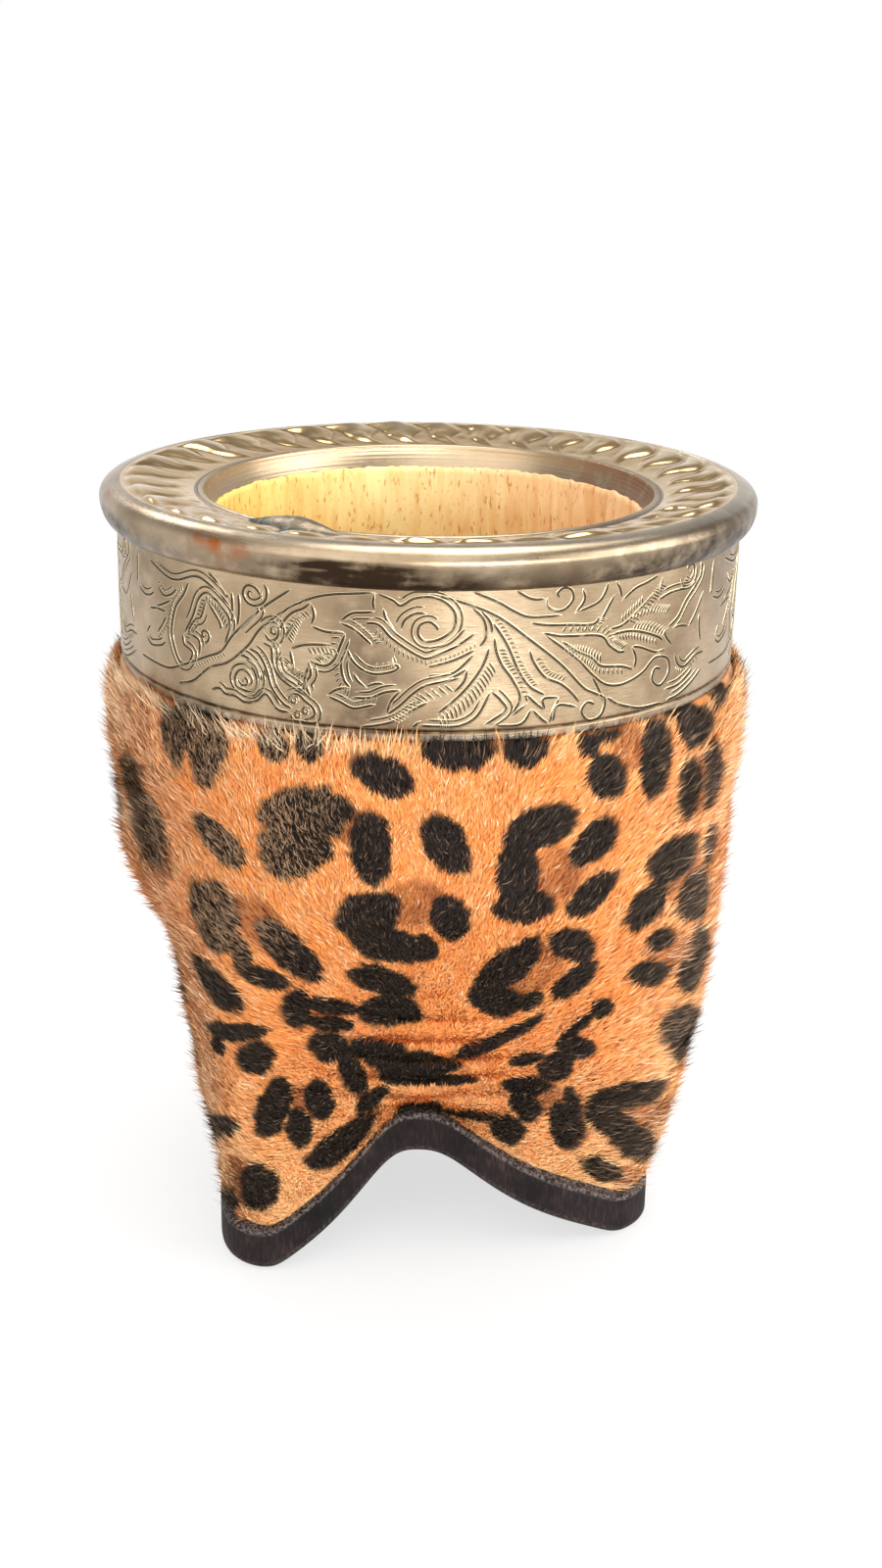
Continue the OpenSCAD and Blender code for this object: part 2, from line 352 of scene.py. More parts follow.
class Finish:
    """A material in the making: each method adds one node and gives its output."""

    def __init__(self, name: str) -> None:
        """Start a material with one Principled shader.

        Args:
            name: name of the material.
        """
        self.material = bpy.data.materials.new(name)
        self.tree = blank_tree(self.material)
        self.shader = self.node("BsdfPrincipled")
        output = self.node("OutputMaterial")
        self.join(self.shader.outputs["BSDF"], output.inputs["Surface"])

    def node(self, kind: str, **sockets: Value) -> Node:
        """Add a node with plain numbers on its inputs."""
        return new_node(self.tree, kind, **sockets)

    def join(self, source: Socket, target: Socket) -> None:
        """Link an output to an input."""
        self.tree.links.new(source, target)

    def set(self, **sockets: Value) -> None:
        """Set plain numbers or colours on the shader; an underscore in a name stands for a space."""
        for name, value in sockets.items():
            self.shader.inputs[name.replace("_", " ")].default_value = value

    def drive(self, socket: str, source: Socket) -> None:
        """Link an output to one of the shader's inputs."""
        self.join(source, self.shader.inputs[socket])

    def place(self, stretch: Vector3 = (1, 1, 1), output: str = "Object") -> Socket:
        """Coordinates on the piece.

        Args:
            stretch: factor along each axis.
            output: Object, in metres, or UV for the piece's own map, with the turn along u.

        Returns:
            The coordinates.
        """
        source = self.node("TexCoord")
        mapping = self.node("Mapping", Scale=stretch)
        self.join(source.outputs[output], mapping.inputs["Vector"])
        return mapping.outputs["Vector"]

    def attribute(self, name: str, output: str = "Fac") -> Socket:
        """A named value or colour stored on the piece's points.

        Args:
            name: name of the attribute.
            output: Fac for a value, Color for a colour.

        Returns:
            The value or colour.
        """
        node = self.node("Attribute")
        node.attribute_name = name
        return node.outputs[output]

    def noise(self, vector: Socket, scale: float, detail: float = 3.0, rough: float = 0.55) -> Socket:
        """Noise from 0 to 1.

        Args:
            vector: coordinates to read.
            scale: cells for each unit of those coordinates.
            detail: number of finer layers.
            rough: strength of the finer layers.

        Returns:
            The noise value.
        """
        node = self.node("TexNoise", Scale=scale, Detail=detail, Roughness=rough)
        self.join(vector, node.inputs["Vector"])
        return node.outputs["Fac"]

    def ramp(self, value: Socket, *stops: tuple[float, str]) -> Socket:
        """Colours along a value.

        Args:
            value: number from 0 to 1.
            stops: places from 0 to 1, each with a hex colour.

        Returns:
            The colour.
        """
        node = self.node("ValToRGB")
        fill_ramp(node, tuple((at, linear(code)) for at, code in stops))
        self.join(value, node.inputs["Fac"])
        return node.outputs["Color"]

    def range(self, value: Socket, low: float, high: float, to_low: float = 0.0,
              to_high: float = 1.0) -> Socket:
        """Carry a value from one range to another, held at both ends.

        Args:
            value: number to carry over.
            low: value that becomes to_low.
            high: value that becomes to_high.
            to_low: result at low.
            to_high: result at high.

        Returns:
            The carried value.
        """
        node = self.node("MapRange", From_Min=low, From_Max=high, To_Min=to_low, To_Max=to_high)
        self.join(value, node.inputs["Value"])
        return node.outputs["Result"]

    def combine(self, first: Socket, second: Socket, operation: str = "MULTIPLY") -> Socket:
        """One number from two.

        Args:
            first: one number.
            second: the other.
            operation: name of a Math operation.

        Returns:
            The result.
        """
        node = self.node("Math")
        node.operation = operation
        self.join(first, node.inputs[0])
        self.join(second, node.inputs[1])
        return node.outputs["Value"]

    def mix(self, share: Socket, first: Socket | str, second: Socket | str, way: str = "MIX") -> Socket:
        """Mix two colours.

        Args:
            share: 0 for the first colour, 1 for the second.
            first: colour output, or a hex colour.
            second: colour output, or a hex colour.
            way: how they mix, such as MIX or MULTIPLY.

        Returns:
            The mixed colour.
        """
        node = self.node("Mix")
        node.data_type = "RGBA"
        node.blend_type = way
        self.join(share, node.inputs["Factor"])
        for socket, colour in zip((node.inputs[6], node.inputs[7]), (first, second)):
            if isinstance(colour, str):
                socket.default_value = (*linear(colour), 1)
            else:
                self.join(colour, socket)
        return node.outputs[2]

    def bump(self, height: Socket, strength: float, depth: float) -> None:
        """Raise the surface by a height, adding to any bump made before.

        Args:
            height: value from 0 to 1.
            strength: share of the effect.
            depth: height in metres of a value of 1.
        """
        node = self.node("Bump", Strength=strength, Distance=depth)
        self.join(height, node.inputs["Height"])
        target = self.shader.inputs["Normal"]
        if target.is_linked:
            self.join(target.links[0].from_socket, node.inputs["Normal"])
        self.join(node.outputs["Normal"], target)


@dataclass(frozen=True)
class NickelSilver:
    """Nickel silver: warm grey, browned by handling and by painted shade, with fine marks along the turn.

    One mark darkens the metal where it is 1 or more: tarnish, and also painted shade and painted dark
    reflections. Another turns it orange: stains, and on the lip a painted reflection of the gourd. A third
    lightens and polishes it: wear, and also painted highlights.
    """

    name: str
    bright: str = "#e2cdae"
    mid: str = "#c8ae8d"
    dull: str = "#a58b6c"
    # Dark colour of tarnish, and of painted shade and painted dark reflections.
    tarnish_and_painted_shade: str = "#382a1f"
    # Orange of stains, and of a painted reflection of the gourd.
    stain_and_painted_reflection: str = "#b5642c"
    smooth: float = 0.2
    rough: float = 0.38
    streak: float = 0.5

    def make(self) -> Material:
        """Build the material.

        Returns:
            The material.
        """
        finish = Finish(self.name)
        cloud = finish.noise(finish.place(), 90, 4)
        streaks = finish.noise(finish.place((14, 90, 1), "UV"), 6, 5, 0.65)
        blotch = finish.noise(finish.place(), 420, 3)
        tint = finish.combine(finish.range(cloud, 0.3, 0.7), finish.range(streaks, 0.25, 0.75))
        body = finish.ramp(tint, (0.0, self.dull), (0.45, self.mid), (1.0, self.bright))
        # The darkening mark: tarnish, and also painted shade and painted dark reflections.
        dark = finish.attribute("tarnish_and_painted_shade")
        uneven = finish.range(finish.combine(streaks, blotch), 0.06, 0.28)
        brown_and_painted_shade = finish.combine(dark, uneven)
        metal = finish.mix(brown_and_painted_shade, body, self.tarnish_and_painted_shade)
        # The orange mark: stains, and also a painted reflection of the gourd on the lip.
        orange = finish.combine(finish.attribute("stain_and_painted_reflection"), finish.range(blotch, 0.35, 0.6))
        orange_tinted = finish.mix(orange, metal, self.stain_and_painted_reflection)
        # The lightening mark: wear, and also painted highlights, mixed to a light cream and made glossier.
        wear_and_painted_highlight = finish.attribute("wear_and_painted_highlight")
        finish.drive("Base Color", finish.mix(wear_and_painted_highlight, orange_tinted, "#fbeed6"))
        dull = finish.combine(finish.range(streaks, 0.3, 0.8, self.smooth, self.rough),
                              finish.range(brown_and_painted_shade, 0, 1, 0.0, 0.16), "ADD")
        finish.drive("Roughness", finish.combine(dull, finish.range(wear_and_painted_highlight, 0, 1, 1.0, 0.6)))
        finish.set(Metallic=1.0)
        finish.bump(streaks, self.streak * 0.3, 0.00008)
        finish.bump(blotch, 0.12, 0.0001)
        return finish.material


@dataclass(frozen=True)
class Engraved:
    """Lines cut in the band: brown in the groove, bright on the raised edges."""

    name: str = "engraved_line"

    def make(self) -> Material:
        """Build the material.

        Returns:
            The material.
        """
        finish = Finish(self.name)
        groove = finish.attribute("groove")
        dust = finish.noise(finish.place(), 700, 3)
        depth = finish.combine(finish.range(groove, 0.12, 0.55), finish.range(dust, 0.1, 0.4))
        finish.drive("Base Color", finish.mix(depth, "#dcc8a6", "#241910"))
        finish.drive("Roughness", finish.range(depth, 0, 1, 0.26, 0.55))
        finish.set(Metallic=1.0)
        return finish.material


@dataclass(frozen=True)
class Solder:
    """Grey solder with verdigris along its foot, where the mark named verdigris is 1."""

    name: str = "solder"

    def make(self) -> Material:
        """Build the material.

        Returns:
            The material.
        """
        finish = Finish(self.name)
        speck = finish.noise(finish.place(), 900, 4)
        lines = finish.noise(finish.place((60, 10, 1), "UV"), 5, 4)
        grey = finish.ramp(lines, (0.2, "#5a4e40"), (0.5, "#857661"), (0.85, "#b3a285"))
        green = finish.ramp(speck, (0.3, "#0e1213"), (0.55, "#22383a"), (0.78, "#7fa09b"))
        crust = finish.combine(finish.attribute("verdigris"), finish.range(speck, 0.3, 0.55))
        finish.drive("Base Color", finish.mix(crust, grey, green))
        finish.drive("Metallic", finish.range(crust, 0, 1, 1.0, 0.05))
        finish.drive("Roughness", finish.range(crust, 0, 1, 0.32, 0.85))
        finish.bump(speck, 0.5, 0.0003)
        return finish.material


@dataclass(frozen=True)
class Hair:
    """Hair or hide whose colour is stored on its points under the name coat."""

    name: str
    gloss: float = 0.6
    shine: float = 0.22

    def make(self) -> Material:
        """Build the material.

        Returns:
            The material.
        """
        finish = Finish(self.name)
        shade = finish.noise(finish.place(), 900, 2)
        # The stored colours include painted light on the sides, foot and silhouettes, and a painted sheen.
        coat_and_painted_light = finish.attribute("coat_and_painted_light", "Color")
        finish.drive("Base Color", finish.mix(finish.range(shade, 0.3, 0.75), coat_and_painted_light,
                                              finish.mix(shade, coat_and_painted_light, "#e6cbb6", "MULTIPLY")))
        finish.drive("Roughness", finish.range(shade, 0.2, 0.8, self.gloss - 0.12, self.gloss + 0.12))
        finish.set(Specular_IOR_Level=self.shine, Sheen_Weight=0.16, Sheen_Roughness=0.45,
                   Sheen_Tint=(1.0, 0.76, 0.52, 1))
        return finish.material


@dataclass(frozen=True)
class SoleLeather:
    """Charcoal sole leather, with the grain of its cut edge running up and down."""

    name: str = "sole_leather"

    def make(self) -> Material:
        """Build the material.

        Returns:
            The material.
        """
        finish = Finish(self.name)
        fibre = finish.noise(finish.place((1, 1, 0.22)), 2600, 4, 0.6)
        cloud = finish.noise(finish.place(), 160, 4)
        pore = finish.noise(finish.place(), 2600, 2)
        tone = finish.ramp(fibre, (0.28, "#0e0606"), (0.5, "#1c1110"), (0.76, "#3a2a28"))
        warm = finish.mix(finish.range(cloud, 0.35, 0.7), tone, "#3b3234", "SOFT_LIGHT")
        scuff = finish.combine(finish.attribute("scuff"), finish.range(pore, 0.4, 0.62))
        finish.drive("Base Color", finish.mix(scuff, warm, "#7d736e"))
        finish.drive("Roughness", finish.range(cloud, 0.2, 0.8, 0.6, 0.84))
        finish.set(Specular_IOR_Level=0.22)
        finish.bump(fibre, 0.5, 0.00035)
        finish.bump(pore, 0.3, 0.0002)
        return finish.material


@dataclass(frozen=True)
class GourdFlesh:
    """Inside of the dried gourd, with fibres and brown flecks, in painted light: yellow left, peach right."""

    name: str = "gourd_flesh"

    def make(self) -> Material:
        """Build the material.

        Returns:
            The material.
        """
        finish = Finish(self.name)
        split = finish.node("SeparateXYZ")
        finish.join(finish.place(), split.inputs["Vector"])
        # Painted light and shade: yellow on the lit left wall, peach on the shaded right wall.
        across = finish.range(split.outputs["X"], -0.022, 0.03)
        fibre = finish.noise(finish.place((1, 1, 0.12)), 780, 4, 0.55)
        cloud = finish.noise(finish.place(), 110, 4)
        dash = finish.noise(finish.place((1, 1, 0.26)), 2300, 3, 0.5)
        speck = finish.noise(finish.place((1, 1, 0.6)), 2300, 2, 0.4)
        plain = finish.ramp(across, (0.0, "#f2d47c"), (0.45, "#f8e8ac"), (1.0, "#f5cc9e"))
        shade = finish.ramp(across, (0.0, "#e2ae4e"), (0.45, "#e8bf70"), (1.0, "#d68f52"))
        base = finish.mix(finish.range(cloud, 0.3, 0.65, 0.3, 0.0), plain, shade)
        lined = finish.mix(finish.range(fibre, 0.44, 0.66, 0.0, 0.5), base, shade)
        dashes = finish.range(dash, 0.61, 0.68, 0.0, 0.7)
        specks = finish.range(speck, 0.67, 0.73, 0.0, 0.4)
        marked = finish.mix(dashes, lined, "#b96f2e")
        finish.drive("Base Color", finish.mix(specks, marked, "#b87c3c"))
        finish.drive("Roughness", finish.range(cloud, 0.2, 0.8, 0.62, 0.85))
        finish.set(Specular_IOR_Level=0.25)
        finish.bump(fibre, 0.8, 0.0006)
        return finish.material


@dataclass(frozen=True)
class Cement:
    """Pale setting cement under the collar."""

    name: str = "setting_cement"

    def make(self) -> Material:
        """Build the material.

        Returns:
            The material.
        """
        finish = Finish(self.name)
        cloud = finish.noise(finish.place(), 300, 4)
        finish.drive("Base Color", finish.ramp(cloud, (0.3, "#b3a88f"), (0.7, "#d3c9b4")))
        finish.drive("Roughness", finish.range(cloud, 0.2, 0.8, 0.8, 0.95))
        finish.bump(cloud, 0.5, 0.0004)
        return finish.material


@dataclass(frozen=True)
class Viewpoint:
    """Camera of the photograph: lengths in millimetres, angles in degrees, pixels of its own frame."""

    azimuth: float = -12.5
    reach: float = 254.9
    height: float = 155.73
    pitch: float = 20.078
    yaw: float = 0.508
    roll: float = 0.988
    focal_px: float = 1985.9
    frame_px: tuple[int, int] = (900, 1600)
    sensor: float = 36.0

    def axes(self) -> tuple[Array, Array, Array]:
        """Axes of the picture: yaw, pitch and roll, then the camera's way round the cup.

        Returns:
            Directions to the right of the picture, up the picture and into it.
        """
        pitch, yaw, roll, azimuth = np.deg2rad([self.pitch, self.yaw, self.roll, self.azimuth])
        ahead = np.array([np.sin(yaw) * np.cos(pitch), np.cos(yaw) * np.cos(pitch), -np.sin(pitch)])
        right = np.array([np.cos(yaw), -np.sin(yaw), 0])
        up = np.cross(right, ahead)
        tilted = np.array([np.cos(roll) * right + np.sin(roll) * up,
                           -np.sin(roll) * right + np.cos(roll) * up, ahead])
        turn = np.array([[np.cos(azimuth), -np.sin(azimuth), 0], [np.sin(azimuth), np.cos(azimuth), 0],
                         [0, 0, 1]])
        right, up, ahead = tilted @ turn.T
        return right, up, ahead

    def eye(self) -> Array:
        """Place of the camera."""
        return polar(self.azimuth - 90, self.reach, self.height)

    def rays(self, pixels: Array) -> Array:
        """Directions from the camera through pixels, with a depth of 1.

        Args:
            pixels: places in the photograph's frame.

        Returns:
            The directions.
        """
        right, up, ahead = self.axes()
        offset = (pixels - np.array(self.frame_px) / 2) / self.focal_px
        return ahead + offset[..., :1] * right - offset[..., 1:] * up

    def build(self) -> None:
        """Make the camera and use it."""
        right, up, ahead = self.axes()
        lens = bpy.data.cameras.new("photo_view")
        lens.sensor_width = self.sensor
        lens.lens = self.focal_px / max(self.frame_px) * self.sensor
        lens.clip_start, lens.clip_end = 0.01, 100
        camera = to_scene("photo_view", lens)
        aim(camera, (right, up, -ahead), self.eye() * METRE)
        bpy.context.scene.camera = camera


@dataclass
class BentSole:
    """Leather sole bent to three feet with an arch between each two.

    Between two feet the edge follows a raised cosine, leaned towards the first of them; the underside
    falls from a flat crown to each foot and rises to each arch, and is flat on the floor at the feet.
    """

    foot_r: float
    notch_r: float = 20.5
    arch_h: float = 16.2
    crown_h: float = 14.5
    thick: float = 6.0
    lean: float = 0.12
    crown_share: float = 0.3
    pad_sink: float = 1.0
    foot_sink: float = 5.0
    pad_ease: float = 1.6
    ledge: float = 1.6
    edge_round: float = 0.7
    leather: SoleLeather = SoleLeather()

    def footness(self, angle: Array) -> Array:
        """1 at a foot, 0 half-way between two feet.

        Args:
            angle: degrees round the cup.

        Returns:
            The share.
        """
        share = (angle - 90) / 120 % 1
        leaned = share + self.lean * np.sin(np.pi * share) ** 2
        return np.maximum(0, (1 + np.cos(2 * np.pi * leaned)) / 2)

    def edge_r(self, angle: Array) -> Array:
        """Radius of the sole's edge."""
        return blend(self.notch_r, self.foot_r, self.footness(angle) ** 1.8)

    def under_z(self, angle: Array, radius: Array) -> Array:
        """Height of the underside.

        Args:
            angle: degrees round the cup.
            radius: distance from the middle.

        Returns:
            The heights.
        """
        foot = self.footness(angle)
        rise = (self.arch_h + self.pad_sink) * (1 - foot ** 1.2) - self.pad_sink - self.foot_sink * foot ** 16
        share = np.maximum(0, (radius / self.edge_r(angle) - self.crown_share) / (1 - self.crown_share))
        level = blend(self.crown_h, rise, share ** 1.5)
        return (level + np.sqrt(level ** 2 + self.pad_ease ** 2)) / 2

    def top_z(self, angle: Array, radius: Array) -> Array:
        """Height of the upper side."""
        return self.under_z(angle, radius) + self.thick

    def hem_r(self, angle: Array) -> Array:
        """Radius at which the hide meets the sole."""
        return self.edge_r(angle) - self.ledge

    def build(self) -> Piece:
        """Skin the sole from the middle of its underside, round its edge, to the middle of its top.

        Returns:
            The piece.
        """
        angle = turn_angles(RING)
        edge = self.edge_r(angle)
        curve = np.linspace(0, np.pi / 2, 6)
        wall = np.linspace(0, 1, 14)[1:-1]
        round_r = self.edge_round
        rows, scuff = [], []
        for share in np.concatenate([[0, 0.04, 0.15], np.linspace(self.crown_share, 1, 22)]):
            radius = share * (edge - round_r)
            rows.append(polar(angle, radius, self.under_z(angle, radius)))
            scuff.append(0.0)
        low = self.under_z(angle, edge - round_r)
        high = self.top_z(angle, edge - round_r)
        for bend in curve[1:]:
            rows.append(polar(angle, edge - round_r + round_r * np.sin(bend),
                              low + round_r * (1 - np.cos(bend))))
            scuff.append(0.15)
        for share in wall:
            height = blend(low + round_r, high - round_r, share)
            fibre = grain(polar(angle, edge, height * 0.15), 0.9, 3) * 0.05
            rows.append(polar(angle, edge + fibre, height))
            scuff.append(0.0)
        for bend in curve:
            rows.append(polar(angle, edge - round_r + round_r * np.cos(bend),
                              high - round_r + round_r * np.sin(bend)))
            scuff.append(0.55)
        for share in np.concatenate([np.linspace(1, 0.82, 8)[1:], [0.6, 0.4, self.crown_share, 0.1, 0]]):
            radius = share * (edge - round_r)
            pile = np.maximum(0, grain(polar(angle, radius, 0 * angle), 0.7, 5)) * 0.25 * (share > 0.8)
            rows.append(polar(angle, radius, self.top_z(angle, radius) + pile))
            scuff.append(1.0)
        skin = ring_skin(np.stack(rows), closed=False)
        skin.marks["scuff"] = np.repeat(np.array(scuff), RING)
        return put("bent_sole", skin, self.leather.make(), "sole", weld=True)


@dataclass(frozen=True)
class Mark:
    """A printed mark on the hide as the photograph shows it: middle, half length, half width and tilt.

    The middle and the halves are pixels; the tilt turns the length from level towards lower right.
    """

    x: float
    y: float
    long: float
    wide: float
    tilt: float = 0.0
    tone: Tone = Tone.BLACK

    @property
    def halves(self) -> Pair:
        """Half length and half width, with the hair that spreads past the skin's own mark."""
        return self.long + HAIR_SPREAD_PX, self.wide + HAIR_SPREAD_PX


@dataclass
class Patch:
    """A mark laid on the hide: its middle, its two half axes and the hide's normal there."""

    middle: Array
    long: Array
    wide: Array
    normal: Array
    tone: Tone


BLACK_MARKS = (
    (179, 749, 32, 10, 85), (211, 758, 45, 18, 86), (196, 730, 23, 13, 10), (150, 827, 58, 14, 73),
    (227, 860, 32, 12, 48), (312, 832, 44, 24, 4), (300, 866, 34, 30, 10), (378, 867, 37, 20, 86),
    (390, 793, 32, 17, 24), (281, 763, 17, 13, 70), (316, 764, 13, 13), (222, 937, 38, 21, 70),
    (295, 971, 40, 16, 44), (250, 978, 17, 8, 84), (273, 999, 25, 9, 18), (222, 1005, 34, 10, 52),
    (376, 936, 32, 22, -15), (398, 964, 46, 16, 14), (458, 938, 20, 18, 40), (437, 967, 13, 8, 60),
    (391, 1001, 31, 12, 14), (400, 1032, 32, 14, 2), (305, 1029, 18, 13, 80), (340, 1027, 28, 6, 8),
    (338, 1044, 23, 6, 8), (338, 1068, 19, 13, 20), (392, 1076, 38, 8, 8), (361, 1096, 14, 9, 40),
    (415, 1103, 38, 4, 4), (379, 1118, 18, 5, -18), (240, 1055, 30, 8, 2), (263, 1079, 19, 15, -20),
    (225, 1068, 9, 5, 70), (281, 1130, 29, 15, 112), (307, 1150, 19, 11, 78), (326, 1122, 20, 13, 70),
    (352, 1164, 42, 13, -42), (428, 1132, 24, 7, 0), (228, 1150, 12, 9, 20), (266, 1212, 22, 18, 70),
    (240, 1236, 12, 9, 80), (191, 1002, 22, 5, 75), (200, 1066, 24, 4, 80), (214, 1150, 24, 4, 78),
    (466, 766, 36, 19, 2), (535, 766, 20, 17, -5), (598, 763, 11, 9, 60), (619, 752, 13, 6, -20),
    (618, 795, 22, 17, 84), (666, 776, 38, 14, 97), (705, 739, 26, 16, 75), (698, 808, 29, 9, 97),
    (721, 793, 33, 8, 97), (732, 708, 16, 5, 97), (455, 863, 31, 19, 58), (550, 846, 39, 19, -24),
    (528, 893, 45, 19, 92), (533, 927, 30, 15, -6), (604, 861, 30, 14, -48), (601, 914, 32, 12, -42),
    (684, 878, 29, 17, -45), (657, 926, 29, 13, -52), (704, 917, 25, 15, 100), (717, 865, 19, 6, 97),
    (581, 965, 23, 15, 10), (516, 988, 39, 15, -36), (502, 1020, 26, 14, 12), (538, 1022, 15, 6, -20),
    (585, 1000, 26, 9, -38), (671, 960, 13, 8, -30), (708, 968, 19, 12, 80), (700, 996, 20, 14, 120),
    (659, 994, 18, 11, -12), (692, 1055, 28, 22, 80), (505, 1060, 42, 7, -18), (611, 1029, 11, 8, -30),
    (589, 1046, 26, 4, -40), (585, 1069, 20, 11, 8), (566, 1088, 17, 11, -20), (533, 1079, 16, 7, -16),
    (457, 1102, 28, 4, -3), (537, 1109, 22, 8, 0), (535, 1129, 16, 11, 40), (575, 1148, 20, 16, 80),
    (581, 1126, 13, 7, 80), (640, 1117, 38, 11, -9), (612, 1135, 18, 11, -10), (638, 1162, 36, 16, 40),
    (610, 1192, 18, 10, 24), (474, 1135, 28, 6, 6), (517, 1152, 17, 10, 20),
)
BROWN_MARKS = (
    (160, 862, 40, 10, 72), (352, 842, 16, 14, 30), (268, 945, 34, 18, 50), (424, 925, 24, 22, 0),
    (318, 1036, 30, 10, 8), (311, 1127, 20, 9, 80), (246, 1205, 22, 9, 85), (640, 765, 22, 14, 80),
    (711, 800, 26, 8, 97), (567, 890, 26, 22, 80), (695, 896, 20, 14, -45), (543, 990, 32, 20, -30),
    (684, 972, 24, 16, 20), (558, 1122, 20, 13, 70), (664, 1137, 24, 14, -20), (630, 1198, 14, 8, 10),
)
FRONT_MARKS = (*(Mark(*row) for row in BLACK_MARKS),
               *(Mark(*row, tone=Tone.BROWN) for row in BROWN_MARKS))


@dataclass(frozen=True)
class CoatColours:
    """Colours of the hide's hair."""

    ground: str = "#f79f54"
    deep: str = "#e2823a"
    # Tan and cream also serve as painted light on the sides, the foot and the silhouettes.
    tan: str = "#fbc88a"
    cream: str = "#f9e2bd"
    black: str = "#150b06"
    # Ash also serves as a painted sheen on black hair at the upper left.
    ash: str = "#a08062"
    brown: str = "#9c5528"

    def paint(self, points: Array, normals: Array, black: Array, brown: Array, dice: Array,
              collar: Array) -> Array:
        """Colour of each hair half-way along it, with painted light on the sides, foot and silhouettes.

        Args:
            points: roots of the hairs.
            normals: directions out of the hide.
            black: share of a black mark at each root.
            brown: share of a brown mark at each root.
            dice: one number from 0 to 1 for each hair.
            collar: 1 next to the collar, 0 away from it.

        Returns:
            Linear colours.
        """
        cloud = grain(points, 5.0, 21)[:, None]
        stroke = grain(points * np.array([1, 1, 0.35]), 1.1, 22)[:, None]
        depth = np.clip(0.28 + 0.3 * cloud + 0.28 * stroke, 0, 1)
        colour = blend(linear(self.ground), linear(self.deep), depth)
        # Painted light: the hair is paler towards the right side and towards the foot.
        left, right = (ease(side * normals[:, 0], 0.25, 0.95)[:, None] for side in (-1, 1))
        foot = 1 - ease(points[:, 2], 12, 42)[:, None]
        pale = np.clip(0.1 + 0.05 * left + 0.35 * right + 0.6 * foot + 0.3 * stroke, 0, 0.85)
        colour = blend(colour, linear(self.tan), np.clip(pale + 0.5 * collar[:, None], 0, 0.85))
        # More cream hairs on the left, most under the collar: partly their own colour, partly painted light.
        fair = dice[:, None] < 0.05 + (0.08 + 0.5 * collar[:, None]) * left
        colour = np.where(fair, blend(colour, linear(self.cream), 0.7), colour)
        # Painted light: cream at both silhouettes, and on the left fringe under the collar.
        edge = ease(np.abs(normals[:, 0]), 0.82, 0.99)[:, None]
        colour = blend(colour, linear(self.cream), np.maximum(0.45 * collar[:, None] * left, 0.5 * edge))
        streaky = np.clip(0.8 + 0.3 * stroke, 0, 1)
        colour = blend(colour, linear(self.brown), streaky * brown[:, None])
        soot = linear(self.black) * (0.5 + 2 * dice[:, None] ** 2)
        # Painted sheen, with some grey hairs: more and brighter grey hairs in the black marks on the upper
        # left.
        grey_hair_and_painted_sheen = left * ease(points[:, 2], 42, 62)[:, None]
        grey = linear(self.ash) * (0.3 + 0.7 * ease(grey_hair_and_painted_sheen, 0, 0.5))
        sooty = np.where(dice[:, None] > np.clip(0.92 - 0.85 * grey_hair_and_painted_sheen, 0.5, 0.92), grey, soot)
        return blend(colour, sooty, black[:, None])


@dataclass
class Roots:
    """Roots of hairs: places, directions round, up and out, and what grows there.

    side is the cosine of the angle from the cup's left. flank, collar and tuft are shares from 0 to 1 of
    the two sides, the row under the collar and its long fringe. guard picks the long, light hairs.
    """

    point: Array
    east: Array
    north: Array
    normal: Array
    side: Array
    flank: Array
    collar: Array
    tuft: Array
    guard: Array


